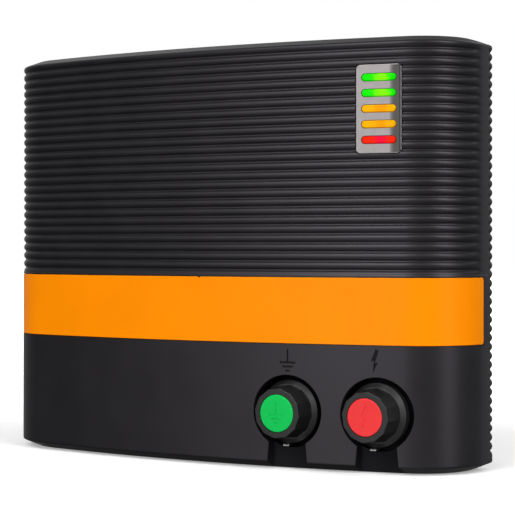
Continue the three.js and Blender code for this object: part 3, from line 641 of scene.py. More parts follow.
def case_stations(back, corner_steps=CORNER_STEPS):
    """The whole front and both sides, back to the given y."""
    fade_start, fade_end = RIB_FADE
    angles = corner_angles(fade_start, corner_steps)
    angles += [fade_start + (fade_end - fade_start) * step / 4 for step in (1, 2, 3, 4)]
    angles += [pi / 2]
    right = front_stations(angles)
    right.append((Vector((HALF_WIDTH, back)), Vector((1, 0)), 0))
    return mirrored(right)


def level_ring(stations, z, inset, groove=0):
    """The outline at height z, moved in by inset and by a groove's depth where ribs run."""
    return [(*(point - normal * (inset + groove * rib)), z) for point, normal, rib in stations]


def groove_steps():
    """(z, depth) across one groove, from crest to crest, about the groove's middle."""
    flank = 2 * atan2(2 * RIB_DEPTH, RIB_PITCH)
    crest_radius = RIB_PITCH / 2 / sin(flank) - VALLEY_RADIUS
    half = RIB_PITCH / 2
    steps = []
    for angle in [flank * part / 6 for part in range(1, 7)]:
        steps.append((crest_radius * sin(angle) - half, crest_radius * (1 - cos(angle))))
    for angle in [flank * part / 3 for part in (2, 1, 0)]:
        steps.append((-VALLEY_RADIUS * sin(angle), RIB_DEPTH - VALLEY_RADIUS * (1 - cos(angle))))
    rising = [(-z, depth) for z, depth in reversed(steps[:-1])]
    return steps + rising + [(half, 0)]


def groove_heights(lowest):
    """The middles of all grooves above the lowest height."""
    count = int((TOP_GROOVE_Z - lowest) / RIB_PITCH) + 1
    return [TOP_GROOVE_Z - RIB_PITCH * index for index in reversed(range(count))]


def bow_y(x, inset=0):
    """The y of the front surface at x, on the bow or on a corner."""
    reach = abs(x)
    if reach <= BOW_EDGE:
        return FRONT_Y + BOW_RADIUS - sqrt((BOW_RADIUS - inset) ** 2 - reach**2)
    return CORNER_Y - sqrt((CORNER_RADIUS - inset) ** 2 - (reach - CORNER_X) ** 2)


def sunk(name, outline, profile, lean=0):
    """A body that follows the front surface: an X-Z outline carried through (depth, margin) steps.
    With a lean, every depth grows by that share from the outline's top down to its foot."""
    heights = [z for x, z in outline]
    top = max(heights)
    tall = top - min(heights)
    rings = []
    for depth, margin in profile:
        ring = []
        for x, z in spread(outline, margin):
            ring.append((x, bow_y(x) + depth * (1 + lean * (top - z) / tall), z))
        rings.append(ring)
    return loft(name, rings)


# ---- front cover


def cover_blank():
    stations = case_stations(COVER_BACK)
    bottom = filleted([
        (BEVEL_WIDTH + 2 * MM, 0, 0),
        (BEVEL_WIDTH, 0, CROWN_ROUND),
        (0, BEVEL_HEIGHT, FOOT_ROUND),
        (0, LABEL_TOP + 0.8 * MM, 0.3 * MM),
        (CREST_INSET, LABEL_TOP + 1.5 * MM, 0),
    ])
    top = filleted([
        (CREST_INSET, TOP_GROOVE_Z + RIB_PITCH / 2 + 0.05 * MM, 0),
        (CREST_INSET, CASE_HEIGHT - TOP_BEVEL_HEIGHT, TOP_ROUND),
        (BEVEL_WIDTH, CASE_HEIGHT, CROWN_ROUND),
        (BEVEL_WIDTH + 2 * MM, CASE_HEIGHT, 0),
    ], steps=8)
    rings = [level_ring(stations, z, inset) for inset, z in bottom]
    lowest = TOP_GROOVE_Z - (GROOVE_COUNT - 0.5) * RIB_PITCH
    for middle in groove_heights(lowest):
        rings += [level_ring(stations, middle + z, CREST_INSET, depth) for z, depth in groove_steps()]
    rings += [level_ring(stations, z, inset) for inset, z in top]
    return loft("case_cover", rings)


def plain_blank(name, inset, back):
    """The case's smooth shape, moved in all round by inset."""
    stations = case_stations(back, PLAIN_CORNER_STEPS)
    deep = BEVEL_WIDTH + inset
    levels = [
        (inset, deep),
        (inset + BEVEL_HEIGHT, inset),
        (CASE_HEIGHT - inset - BEVEL_HEIGHT, inset),
        (CASE_HEIGHT - inset, deep),
    ]
    return loft(name, [level_ring(stations, z, depth) for z, depth in levels])


def label_recess():
    depth = LABEL_INSET + LABEL_THICKNESS + GAP
    end = LABEL_END + radians(0.5)
    stations = mirrored(front_stations(corner_angles(end)))
    proud = level_ring(stations, LABEL_BOTTOM - GAP, -MM)
    floor = level_ring(stations, LABEL_BOTTOM - GAP, depth)
    low = proud + floor[::-1]
    high = [(x, y, LABEL_TOP + GAP) for x, y, z in low]
    return loft("label_recess", [low, high])


def window_matrix():
    """Places the window's own frame: its middle on the crest line, facing out from the bow."""
    y = bow_y(WINDOW_X, CREST_INSET)
    turn = asin(WINDOW_X / BOW_RADIUS)
    return Matrix.Translation((WINDOW_X, y, 0)) @ Matrix.Rotation(turn, 4, "Z")


def window_outline():
    return rectangle(-WINDOW_HALF_WIDTH, WINDOW_Z - WINDOW_HALF_HEIGHT,
                     WINDOW_HALF_WIDTH, WINDOW_Z + WINDOW_HALF_HEIGHT, WINDOW_CORNER)


def window_hole():
    return slab("window_hole", window_outline(), [(-4 * MM, GAP), (WINDOW_THICKNESS + 2 * MM, GAP)],
                window_matrix())


def channel_outline(x, extra=0):
    top = CHANNEL_TOP_HALF + extra
    bottom = CHANNEL_BOTTOM_HALF + extra
    return [(x - bottom, -MM), (x + bottom, -MM), (x + top, CHANNEL_TOP_Z), (x - top, CHANNEL_TOP_Z)]


def rounded_mouth(depth):
    """(depth, margin) steps of a hollow whose rim is rounded where it meets the surface."""
    rim = filleted([(0, 2 * RIM_ROUND, 0), (0, 0, RIM_ROUND), (depth, 0, 0)])
    return [(-2 * MM, 2 * RIM_ROUND)] + rim


def terminal_hollows(name, x):
    front = terminal_front[name]
    floor = front + POCKET_DEPTH
    rim = circle(x, TERMINAL_Z, POCKET_RADIUS, 96)
    mouth = sunk("pocket_mouth", rim, rounded_mouth(6 * MM))
    pocket = rod("pocket", x, TERMINAL_Z, POCKET_RADIUS, bow_y(x) + 2 * MM, floor, 96)
    channel = sunk("channel", channel_outline(x), rounded_mouth(CHANNEL_DEPTH), CHANNEL_LEAN)
    stud = rod("stud_hole", x, TERMINAL_Z, STUD_HOLE, floor - MM, floor + FLOOR_THICKNESS + MM)
    return [mouth, pocket, channel, stud]


def terminal_supports(name, x):
    back = terminal_front[name] + POCKET_DEPTH + FLOOR_THICKNESS
    boss = rod("pocket_boss", x, TERMINAL_Z, POCKET_RADIUS + POCKET_WALL, FRONT_Y, back, 96)
    depth = CHANNEL_DEPTH + CHANNEL_BACKING
    backing = sunk("channel_backing", channel_outline(x, 3 * MM), [(-2 * MM, 0), (depth, 0)])
    return [boss, backing]


EARTH_SYMBOL = (54.5 * MM, 52.4 * MM)
BOLT_SYMBOL = (103 * MM, 53 * MM)
SYMBOL_DEPTH = 0.5 * MM


def moulded_mark(outline):
    return sunk("mark", outline, [(-MM, 0), (0, 0), (SYMBOL_DEPTH, -0.1 * MM)])


def earth_marks(x, base, scale):
    """The earth sign as outlines: a stem over three bars, each shorter than the one above."""
    marks = []
    for half, low, high in ((0.5, 5.2, 12), (4.5, 4.4, 5.5), (3, 2.2, 3.3), (1.4, 0, 1.1)):
        left = x - half * scale
        right = x + half * scale
        marks.append(rectangle(left, base + low * scale, right, base + high * scale, 0.1 * scale, 1))
    return marks


def bolt_mark(x, base, scale):
    """The high-voltage flash as one outline, from its tip round to its tip."""
    corners = [(-0.9, 0), (1.9, 5.6), (0.2, 5.2), (2.6, 12.6), (0.6, 12.6), (-1.9, 6.2), (-0.3, 6.6)]
    return [(x + a * scale, base + b * scale) for a, b in corners]


def symbol_marks():
    outlines = earth_marks(*EARTH_SYMBOL, MM) + [bolt_mark(*BOLT_SYMBOL, MM)]
    return [moulded_mark(outline) for outline in outlines]


def front_cover():
    cover = cut(cover_blank(), plain_blank("cavity", COVER_WALL, COVER_BACK + COVER_WALL))
    supports = []
    for name, x in TERMINAL_X.items():
        supports += terminal_supports(name, x)
    for x, z in SCREW_PLACES:
        supports.append(rod("screw_boss", x, z, SCREW_BOSS, FRONT_Y + 20 * MM, COVER_BACK))
    for support in supports:
        common(support, plain_blank("core", 1.5 * MM, COVER_BACK))
        join(cover, support)
    for name, x in TERMINAL_X.items():
        cut(cover, *terminal_hollows(name, x))
    for x, z in SCREW_PLACES:
        deep = COVER_BACK - SCREW_HOLE_DEPTH
        cut(cover, rod("screw_hole", x, z, SCREW_HOLE, deep, COVER_BACK + MM, 16))
    cut(cover, label_recess(), window_hole(), *symbol_marks())
    finish(cover, "case", "case_plastic", "front_cover")


front_cover()

# ---- label strip


def label_strip():
    """The band, rounded at its two ends in five short steps."""
    end_turn = LABEL_END_ROUND / CORNER_RADIUS
    angles = corner_angles(LABEL_END - end_turn)
    angles += [LABEL_END - end_turn * (1 - step / 5) for step in (1, 2, 3, 4, 5)]
    stations = mirrored(front_stations(angles))
    rings = []
    for point, normal, rib in stations:
        angle = atan2(abs(normal.x), -normal.y)
        to_end = (LABEL_END - angle) * CORNER_RADIUS
        over = max(LABEL_END_ROUND - to_end, 0)
        nip = LABEL_END_ROUND - sqrt(max(LABEL_END_ROUND**2 - over**2, 0))
        section = rectangle(LABEL_INSET, LABEL_BOTTOM + nip, LABEL_INSET + LABEL_THICKNESS,
                            LABEL_TOP - nip, 0.35 * MM, 3)
        rings.append([(*(point - normal * inset), z) for inset, z in section])
    label = loft("orange_label", rings)
    notch = rod("notch", 0, LABEL_TOP + 0.2 * MM, 0.9 * MM, FRONT_Y - MM, FRONT_Y + 3 * MM, 16)
    finish(cut(label, notch), "case", "label_orange", "label_strip")


label_strip()

# ---- bar-graph display


def bar_outline(bar):
    z = TOP_BAR_Z - bar * BAR_PITCH
    return rectangle(-BAR_HALF_WIDTH, z - BAR_HALF_HEIGHT, BAR_HALF_WIDTH, z + BAR_HALF_HEIGHT, BAR_CORNER)


def window_roll_off():
    """What comes off the face's right side: a hollow roll down to the lip."""
    start = WINDOW_HALF_WIDTH - WINDOW_SLOPE
    end = WINDOW_HALF_WIDTH - WINDOW_LIP
    half_height = WINDOW_HALF_HEIGHT - WINDOW_LIP
    curve = filleted([
        (start - 3 * MM, GAP, 0),
        (start, GAP, WINDOW_ROUND),
        (end, GAP + WINDOW_DROP, 0.15 * MM),
        (end, -MM, 0),
    ], steps=8)[1:]
    section = [(curve[0][0], -MM)] + curve
    place = window_matrix()
    ends = []
    for z in (WINDOW_Z - half_height, WINDOW_Z + half_height):
        ends.append([place @ Vector((x, y, z)) for x, y in section])
    return loft("window_roll_off", ends)


def display_window():
    flange_front = WINDOW_THICKNESS + GAP
    flange = slab("window_flange", spread(window_outline(), WINDOW_FLANGE),
                  [(flange_front, 0), (flange_front + 1.5 * MM, 0)], window_matrix())
    face = slab("display_window", window_outline(), soft_edged(GAP, flange_front + 1.5 * MM, 0.35 * MM),
                window_matrix())
    plate = cut(join(face, flange), window_roll_off())
    for bar in range(len(BAR_SLOTS)):
        slot = slab("bar_slot", bar_outline(bar), [(-2 * MM, GAP), (12 * MM, GAP)], window_matrix())
        cut(plate, slot)
    finish(plate, "case", "window_grey", "led_window")


def light_bars():
    for bar, slot in enumerate(BAR_SLOTS):
        steps = soft_edged(0.1 * MM, BAR_DEPTH, 0.5 * MM)
        piece = slab(f"light_bar_{bar + 1}", bar_outline(bar), steps, window_matrix())
        finish(piece, "case", slot, f"led_bar_{bar + 1}")


display_window()
light_bars()

# ---- screw terminals


def knob_ring(x, y, radius, corner):
    """One level of the twelve-sided grip, with rounded corners."""
    points = arc(x, TERMINAL_Z, radius, KNOB_TURN, KNOB_TURN + 2 * pi, KNOB_SIDES)[:-1]
    rounded = filleted([(*point, corner) for point in points], closed=True)
    return [(px, y, pz) for px, pz in rounded]


def knob_grip(name, x):
    front = terminal_front[name]
    foot = front + FLANGE_START + MM
    profile = filleted([
        (KNOB_FRONT_RADIUS - 2.4 * MM, front + KNOB_FRONT, 0),
        (KNOB_FRONT_RADIUS, front + KNOB_FRONT, 0.35 * MM),
        (KNOB_BASE_RADIUS, foot, 0),
    ], steps=5)
    grip = loft(f"{name}_grip", [knob_ring(x, y, radius, 0.7 * MM) for radius, y in profile])
    skirt = turned("skirt", filleted([
        (KNOB_BASE_RADIUS - 3 * MM, front + FLANGE_START, 0),
        (KNOB_BASE_RADIUS, front + FLANGE_START, 0.3 * MM),
        (KNOB_FLANGE_RADIUS, front + FLANGE_EDGE, 0.5 * MM),
        (KNOB_FLANGE_RADIUS, front + KNOB_BACK, 0.4 * MM),
        (KNOB_BASE_RADIUS - 3 * MM, front + KNOB_BACK, 0),
    ]), x, TERMINAL_Z, 96)
    join(grip, skirt)
    seat = rod("cap_seat", x, TERMINAL_Z, CAP_RADIUS + GAP, front - MM, front + CAP_THICKNESS + GAP, 64)
    bore = rod("bore", x, TERMINAL_Z, INSERT_RADIUS + GAP, front + INSERT_FRONT - GAP,
               front + KNOB_BACK + MM, 48)
    cut(grip, seat, bore)
    finish(grip, f"{name}_knob", "knob_plastic", f"{name}_knob")


def engraved_mark(outline, front):
    return slab("mark", outline, [(front - MM, 0), (front + 0.3 * MM, 0)])


def cap_disc(name, x):
    front = terminal_front[name]
    disc = turned(f"{name}_cap_disc", filleted([
        (CAP_RADIUS - 2 * MM, front, 0),
        (CAP_RADIUS, front, 0.6 * MM),
        (CAP_RADIUS, front + CAP_THICKNESS, 0.2 * MM),
        (CAP_RADIUS - 2 * MM, front + CAP_THICKNESS, 0),
    ]), x, TERMINAL_Z, 64)
    base = TERMINAL_Z - 5.6 * MM
    if name == "earth":
        marks = earth_marks(x, base, 0.93 * MM)
    else:
        marks = [bolt_mark(x - 0.3 * MM, base, 0.9 * MM)]
    cut(disc, *[engraved_mark(outline, front) for outline in marks])
    finish(disc, f"{name}_knob", CAP_SLOTS[name], f"{name}_knob_cap")


def ring_section(node, bore, radius, rounds):
    """A ring's section over a CAD node's depth, with a round for each corner from the front bore."""
    low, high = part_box(node)
    corners = [(bore, low.y), (radius, low.y), (radius, high.y), (bore, high.y)]
    return filleted([(*corner, size * MM) for corner, size in zip(corners, rounds)], closed=True)


def knob_insert(name, x):
    section = ring_section(f"{name}_knob_insert", INSERT_BORE, INSERT_RADIUS, (0.3, 0.4, 0.4, 0.3))
    insert = turned(f"{name}_brass_nut", section, x, TERMINAL_Z, 48, closed=True)
    finish(insert, f"{name}_knob", "brass", f"{name}_knob_insert")


def clamp_plate(name, x):
    """The loose washer, with a narrow arm bent forward under the knob to a small lip."""
    front = terminal_front[name]
    low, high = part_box(f"{name}_clamp_washer")
    back = high.y
    face = back - CLAMP_THICKNESS
    arm_top = TERMINAL_Z - KNOB_FLANGE_RADIUS - GAP
    lip_end = arm_top - LIP_HEIGHT
    side = filleted([
        (face, TERMINAL_Z - 8 * MM, 0),
        (face, arm_top, 0.4 * MM),
        (low.y, arm_top, 1.1 * MM),
        (low.y, lip_end, 0.2 * MM),
        (low.y + ARM_THICKNESS, lip_end, 0.2 * MM),
        (low.y + ARM_THICKNESS, arm_top - ARM_THICKNESS, 0.3 * MM),
        (back, arm_top - ARM_THICKNESS, 1.1 * MM),
        (back, TERMINAL_Z - 8 * MM, 0),
    ], closed=True)
    rings = []
    for offset, margin in ((-1.75, -0.15), (-1.6, 0), (1.6, 0), (1.75, -0.15)):
        outline = spread(side, margin * MM)
        rings.append([(x - ARM_OFFSET + offset * MM, y, z) for y, z in outline])
    arm = loft(f"{name}_clamp_plate", rings)
    disc = turned("disc", filleted([
        (10 * MM, face, 0),
        (CLAMP_RADIUS, face, 0.3 * MM),
        (CLAMP_RADIUS, back, 0.3 * MM),
        (10 * MM, back, 0),
    ]), x, TERMINAL_Z, 64)
    join(arm, disc)
    cut(arm, rod("hole", x, TERMINAL_Z, STUD_HOLE, front, back + MM))
    finish(arm, f"{name}_clamp", "plated_steel", f"{name}_clamp_washer")


def contact_seat(name, x):
    node = f"{name}_contact_seat"
    section = ring_section(node, STUD_HOLE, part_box(node)[1].x - x, (0.2, 0.5, 0.2, 0.2))
    seat = turned(f"{name}_contact_ring", section, x, TERMINAL_Z, 64, closed=True)
    finish(seat, "case", "plated_steel", node)


for terminal, terminal_x in TERMINAL_X.items():
    knob_grip(terminal, terminal_x)
    cap_disc(terminal, terminal_x)
    knob_insert(terminal, terminal_x)
    clamp_plate(terminal, terminal_x)
    contact_seat(terminal, terminal_x)

# ---- rear shell


def flange_outline():
    """The case's front view, with grip grooves up both sides."""
    edge = HALF_WIDTH - CREST_INSET
    right = filleted([
        (0, 0, 0),
        (HALF_WIDTH - BEVEL_WIDTH, 0, 2 * MM),
        (edge, BEVEL_HEIGHT, FOOT_ROUND),
        (edge, BEVEL_HEIGHT + 2 * MM, 0),
    ])[1:-1]
    grooves = groove_heights(BEVEL_HEIGHT + RIB_PITCH)
    for middle in grooves:
        right += [(edge - depth, middle + z) for z, depth in groove_steps()]
    right += filleted([
        (edge, TOP_GROOVE_Z + RIB_PITCH / 2, 0),
        (edge, CASE_HEIGHT - TOP_BEVEL_HEIGHT, TOP_ROUND),
        (HALF_WIDTH - BEVEL_WIDTH, CASE_HEIGHT, 2 * MM),
        (0, CASE_HEIGHT, 0),
    ])[1:-1]
    left = [(-x, z) for x, z in reversed(right)]
    return right + left


def tub_outline(inset, draft):
    half = TUB_HALF_WIDTH - inset - draft
    top = TUB_TOP - inset - draft
    foot = max(TUB_FOOT_CORNER - inset, 0.5 * MM)
    corner = TUB_CORNER - inset
    corners = [(-half, inset, foot), (half, inset, foot), (half, top, corner), (-half, top, corner)]
    return filleted(corners, closed=True, steps=8)


def tub(name, inset, front, back, edge):
    """A drafted tub whose back edge is rounded by edge."""
    rings = [[(x, front, z) for x, z in tub_outline(inset, 0)]]
    for y, margin in filleted([(front, 0, 0), (back, 0, edge), (back, -2 * edge, 0)], steps=5)[1:]:
        share = (y - SHELL_FRONT) / (SHELL_BACK - SHELL_FRONT)
        ring = spread(tub_outline(inset, TUB_DRAFT * share), margin)
        rings.append([(x, y, z) for x, z in ring])
    return loft(name, rings)


KEYHOLE_X = 62 * MM
KEYHOLE_Z = 186 * MM
KEYHOLE_RADIUS = 5.25 * MM
KEYHOLE_SLOT_HALF = 2.75 * MM
KEYHOLE_SLOT_LENGTH = 13 * MM
KEYHOLE_SKIN = 3 * MM


def keyhole_outline(x):
    """A round mouth with a straight slot above it that ends in a half circle."""
    start = asin(KEYHOLE_SLOT_HALF / KEYHOLE_RADIUS)
    top = KEYHOLE_Z + KEYHOLE_SLOT_LENGTH - KEYHOLE_SLOT_HALF
    mouth = arc(x, KEYHOLE_Z, KEYHOLE_RADIUS, start, 2 * pi - start, 24)
    return mouth + arc(x, top, KEYHOLE_SLOT_HALF, -pi / 2, pi / 2, 8)


def keyhole_cuts(x):
    rim = [(SHELL_BACK - KEYHOLE_SKIN - MM, 0), (SHELL_BACK - 0.4 * MM, 0), (SHELL_BACK + 0.6 * MM, MM)]
    skin = slab("keyhole", keyhole_outline(x), rim)
    reach = KEYHOLE_RADIUS + 0.6 * MM
    hollow = block("keyhole_hollow", x - reach, x + reach, SHELL_BACK - 8 * MM, SHELL_BACK - KEYHOLE_SKIN,
                   KEYHOLE_Z - reach, KEYHOLE_Z + KEYHOLE_SLOT_LENGTH + 3 * MM)
    return [skin, hollow]


def rear_shell():
    flange_back = SHELL_FRONT + FLANGE_THICKNESS
    shell = slab("back_shell", flange_outline(), soft_edged(SHELL_FRONT, flange_back, 0.35 * MM))
    join(shell, tub("tub", 0, SHELL_FRONT + MM, SHELL_BACK, 2.5 * MM))
    cut(shell, tub("tub_hollow", SHELL_WALL, SHELL_FRONT - MM, SHELL_BACK - SHELL_WALL, 1.5 * MM))
    for x in (-KEYHOLE_X, KEYHOLE_X):
        join(shell, block("keyhole_block", x - 13 * MM, x + 13 * MM, SHELL_BACK - 13 * MM,
                          SHELL_BACK - MM, KEYHOLE_Z - 12 * MM, KEYHOLE_Z + 20 * MM))
        cut(shell, *keyhole_cuts(x))
    post_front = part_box("main_board")[1].y + GAP
    for index in range(4):
        x, _, z = centre_of(f"board_screw_{index + 1}")
        join(shell, rod("post", x, z, BOARD_POST, post_front, SHELL_BACK - MM, 24))
        hole_end = SHELL_BACK - SHELL_WALL - MM
        cut(shell, rod("post_hole", x, z, BOARD_SCREW_HOLE, post_front - MM, hole_end, 16))
    for x, z in SCREW_PLACES:
        cut(shell, rod("screw_hole", x, z, SCREW_HOLE, SHELL_FRONT - MM, flange_back + MM, 24))
    outer = spread(flange_outline_plain(), GAP - SEAL_OUTSET)
    inner = spread(flange_outline_plain(), -SEAL_INSET - GAP)
    groove_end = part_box("case_seal")[1].y + GAP
    cut(shell, ring_slab("seal_groove", outer, inner, SHELL_FRONT - MM, groove_end))
    _, y, z = centre_of("inlet_grommet")
    hole = rod("inlet_hole", 0, 0, INLET_HOLE, -TUB_HALF_WIDTH - 3 * MM, -TUB_HALF_WIDTH + 9 * MM, 48)
    sideways = Matrix.Rotation(-pi / 2, 4, "Z")
    hole.data.transform(Matrix.Translation((0, y, z)) @ sideways)
    cut(shell, hole)
    finish(shell, "case", "case_plastic", "rear_shell")


def flange_outline_plain():
    edge = HALF_WIDTH - CREST_INSET
    inner = HALF_WIDTH - BEVEL_WIDTH
    right = [(inner, 0), (edge, BEVEL_HEIGHT), (edge, CASE_HEIGHT - BEVEL_HEIGHT), (inner, CASE_HEIGHT)]
    return right + [(-x, z) for x, z in reversed(right)]


def ring_slab(name, outer, inner, front, back):
    """A closed frame between two X-Z outlines of equal point counts."""
    rings = [[(x, y, z) for x, z in outline] for outline, y in
             ((outer, front), (outer, back), (inner, back), (inner, front))]
    return loft(name, rings, closed=True)


def grommet():
    """A waisted rubber ring in the tub's side wall, turned about a line along X."""
    low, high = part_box("inlet_grommet")
    hole = 3.6 * MM
    lip = (high.z - low.z) / 2
    neck = 6.4 * MM
    lip_thickness = 1.6 * MM
    outer = [(hole, low.x, 0.5 * MM), (lip, low.x, 0.9 * MM)]
    outer += [(radius, low.x + lip_thickness, 0.2 * MM) for radius in (lip, neck)]
    inner = [(radius, high.x - lip_thickness, 0.2 * MM) for radius in (neck, lip)]
    inner += [(lip, high.x, 0.9 * MM), (hole, high.x, 0.5 * MM)]
    section = filleted(outer + inner, closed=True)
    _, y, z = centre_of("inlet_grommet")
    rings = [[(x, *point) for point in circle(y, z, radius, 48)] for radius, x in section]
    finish(loft("lead_grommet", rings, closed=True), "case", "seal_rubber", "inlet_grommet")


def screw(name, node, direction, slot_depth):
    """A slotted pan-head screw in a CAD screw's place; direction 1 points the head back."""
    low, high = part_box(node)
    x, _, z = centre_of(node)
    head_radius = (high.x - low.x) / 2
    head_height = slot_depth / 0.4
    top = high.y if direction > 0 else low.y
    tip = low.y if direction > 0 else high.y
    seat = top - direction * head_height
    shank = head_radius * 0.54
    profile = filleted([
        (shank * 0.3, tip, 0),
        (shank, tip + direction * shank, 0),
        (shank, seat, 0),
        (head_radius, seat, 0.2 * MM),
        (head_radius, seat + direction * head_height * 0.55, head_radius * 0.25),
        (head_radius * 0.7, top, head_radius * 0.3),
        (head_radius * 0.2, top, 0),
    ], steps=3)
    piece = turned(name, profile, x, z, 32)
    y0, y1 = sorted((top + direction * MM, top - direction * slot_depth))
    arm = head_radius * 0.6
    cut(piece, block("slot", x - arm, x + arm, y0, y1, z - 0.5 * MM, z + 0.5 * MM))
    finish(piece, "case", "plated_steel", node)


rear_shell()
grommet()
for number in range(1, 7):
    screw(f"cover_screw_{number}", f"case_screw_{number}", 1, 1.04 * MM)
for number in range(1, 5):
    screw(f"circuit_screw_{number}", f"board_screw_{number}", -1, 0.8 * MM)

# ---- carried-over CAD nodes

CARRIED = {  # node: its material, and the width of its broken edges in millimetres
    "case_seal": ("seal_rubber", 0),
    "display_board": ("board_laminate", 0),
    "main_board": ("board_laminate", 0),
    "storage_capacitor_1": ("capacitor_blue", 1.5),
    "storage_capacitor_2": ("capacitor_blue", 1.5),
    "pulse_transformer_core": ("core_iron", 0.5),
    "pulse_transformer_coil": ("coil_copper", 1),
    "supply_transformer_core": ("core_iron", 0.3),
    "supply_transformer_coil": ("coil_tape", 0.5),
    "heat_sink": ("heat_sink", 0.2),
    "thyristor": ("black_epoxy", 0.3),
    "fuse_holder": ("black_epoxy", 0.4),
    "fuse": ("fuse_glass", 0),
    "surge_absorber": ("absorber_blue", 1),
    "earth_lead": ("lead_green", 0),
    "fence_lead": ("lead_red", 0),
}
for terminal in TERMINAL_X:
    CARRIED[f"{terminal}_ring_lug"] = ("tinned_copper", 0)
    CARRIED[f"{terminal}_terminal_bolt"] = ("plated_steel", 0.3)
for chip in range(1, 6):
    CARRIED[f"led_chip_{chip}"] = ("led_chip", 0)

for node, (slot, edge_break) in CARRIED.items():
    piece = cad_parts[node]
    piece.data.materials.clear()
    piece.data.materials.append(MATERIALS[slot])
    if edge_break:
        piece.modifiers.new("weld", "WELD").merge_threshold = 0.01 * MM
        bevel = piece.modifiers.new("edge_break", "BEVEL")
        bevel.width = edge_break * MM
        bevel.segments = 2
        bevel.limit_method = "ANGLE"

# ---- floor, light and camera

TARGET = Vector((10.8 * MM, 0, 119.3 * MM))
CAMERA_YAW = radians(30.07)
CAMERA_DISTANCE = 0.9678
CAMERA_SENSOR = 36  # millimetres, as is the lens
CAMERA_LENS = 118.83
CAMERA_RISE = -0.02136
BACK_DISTANCE = 1.6
BACK_RADIANCE = 0.8
FLOOR_HALF = 6
FLOOR_Z = -0.2 * MM


def studio_floor():
    """White paper that carries the object's shadow, with a painted glow growing out to the backdrop."""
    corners = rectangle(-FLOOR_HALF, -FLOOR_HALF, FLOOR_HALF, FLOOR_HALF, 0)
    floor = mesh_object("floor", [(x, y, FLOOR_Z) for x, y in corners], [(0, 1, 2, 3)])
    floor.visible_glossy = False
    floor.visible_diffuse = False
    tree, shader = new_material("floor_paper")
    distance = add_node(tree, "VectorMath", {0: position(tree)}, operation="LENGTH")["Value"]
    feed(tree, shader, {
        "Base Color": varied(tree, add_noise(tree, 0.3), (0.85, 0.85, 0.85), 0.01),
        "Roughness": 0.9,
        "Specular IOR Level": 0,
        # painted light: the paper glows at 0.3 near the object, rising to full strength a metre out
        "Emission Color": (1, 1, 1, 1),
        "Emission Strength": ramp(tree, distance, 0.2, 1, 0.3, 1, "LINEAR"),
    })
    floor.data.materials.append(MATERIALS["floor_paper"])


# The studio's light: radiance by direction round the object, 0 straight in front and 90 on the
# right, times its share by elevation. One large soft light hangs in front, one on the right.
# The room's own glow comes on top, the same at every elevation.
LIGHT_ROUND = [
    (-180, 0.3), (-160, 0.08), (-149, 0.27), (-142, 0.5), (-136, 0.72), (-125, 0.8), (-110, 0.6),
    (-60, 0.25), (-45, 0.46), (-36, 0.8), (-22, 2.8), (-9, 8.4), (0, 4.2), (13, 1.6), (28, 0.8),
    (41, 0.9), (54, 2.0), (64, 5.6), (72, 8.1), (82, 4.4), (92, 1), (105, 0.5), (120, 0.3),
    (155, 0.7), (175, 0.3), (180, 0.3),
]
LIGHT_UP = [
    (-90, 0.08), (-12, 0.08), (-3, 0.3), (4, 0.38), (22, 0.42), (30, 1), (50, 1), (60, 0.15),
    (90, 0.03),
]
ROOM_GLOW = [
    (-180, 0.1), (-75, 0.03), (-55, 0.03), (-44, 0.14), (-34, 0.3), (-24, 0.42), (-15, 0.42),
    (-9, 0.42), (0, 0.32), (32, 0.28), (50, 0.14), (68, 0.06), (89, 0.14), (121, 0.14), (150, 0.15),
    (180, 0.1),
]


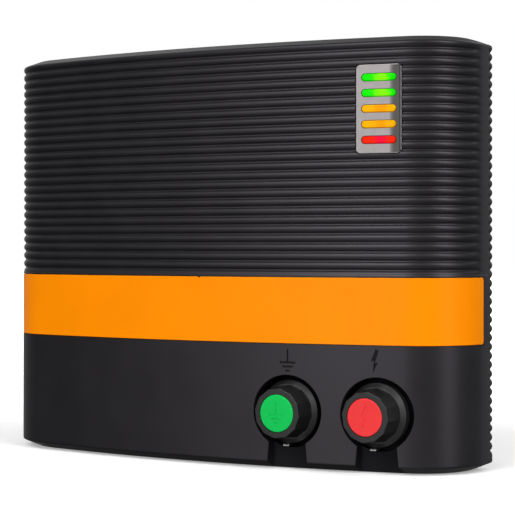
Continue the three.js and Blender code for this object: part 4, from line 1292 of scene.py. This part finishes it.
def light_curve(tree, angle, span, stops):
    """A value read off (degrees, value) stops by an angle in radians within -span to span."""
    reach = radians(span)
    peak = max(value for degrees, value in stops)
    curve = tree.nodes.new("ShaderNodeValToRGB")
    marks = curve.color_ramp.elements
    while len(marks) < len(stops):
        marks.new(1)
    for mark, (degrees, value) in zip(marks, stops):
        mark.position = (degrees + span) / (2 * span)
        mark.color = [value / peak] * 3 + [1]
    feed(tree, curve, {"Fac": ramp(tree, angle, -reach, reach, 0, 1, "LINEAR")})
    return maths(tree, "MULTIPLY", curve.outputs["Color"], peak)


def studio_world():
    """White paper behind the object for the camera, and the studio's lights for everything else."""
    world = bpy.data.worlds.new("studio")
    scene.world = world
    world.use_nodes = True
    tree = world.node_tree
    towards = axes(tree, add_node(tree, "TexCoord", {})["Generated"])
    front = maths(tree, "MULTIPLY", towards["Y"], -1)
    azimuth = maths(tree, "ARCTAN2", towards["X"], front)
    elevation = maths(tree, "ARCSINE", towards["Z"])
    lights = maths(tree, "MULTIPLY", light_curve(tree, azimuth, 180, LIGHT_ROUND),
                   light_curve(tree, elevation, 90, LIGHT_UP))
    room = maths(tree, "ADD", lights, light_curve(tree, azimuth, 180, ROOM_GLOW))
    seen = add_node(tree, "LightPath", {})["Is Camera Ray"]
    strength = add_node(tree, "Mix", {"Factor": seen, "A": room, "B": 1})["Result"]
    feed(tree, tree.nodes["Background"], {"Color": (1, 1, 1, 1), "Strength": strength})


def back_light():
    """A soft light behind the object, off to its left and above it, aimed at its middle."""
    turn = radians(168)
    rise = radians(42)
    towards = Vector((sin(turn) * cos(rise), -cos(turn) * cos(rise), sin(rise)))
    data = bpy.data.lights.new("back_light", "AREA")
    data.shape = "RECTANGLE"
    data.size = 0.8
    data.size_y = 0.6
    data.energy = BACK_RADIANCE * pi * data.size * data.size_y
    light = bpy.data.objects.new("back_light", data)
    light.location = TARGET + towards * BACK_DISTANCE
    light.rotation_euler = towards.to_track_quat("Z", "Y").to_euler()
    scene.collection.objects.link(light)


def studio_camera():
    data = bpy.data.cameras.new("camera")
    data.sensor_width = CAMERA_SENSOR
    data.lens = CAMERA_LENS
    data.shift_y = CAMERA_RISE
    camera = bpy.data.objects.new("camera", data)
    away = Vector((sin(CAMERA_YAW), -cos(CAMERA_YAW), 0))
    camera.location = TARGET + away * CAMERA_DISTANCE
    camera.rotation_euler = (pi / 2, 0, CAMERA_YAW)
    scene.collection.objects.link(camera)
    scene.camera = camera


studio_floor()
studio_world()
back_light()
studio_camera()
scene.view_settings.view_transform = "Standard"
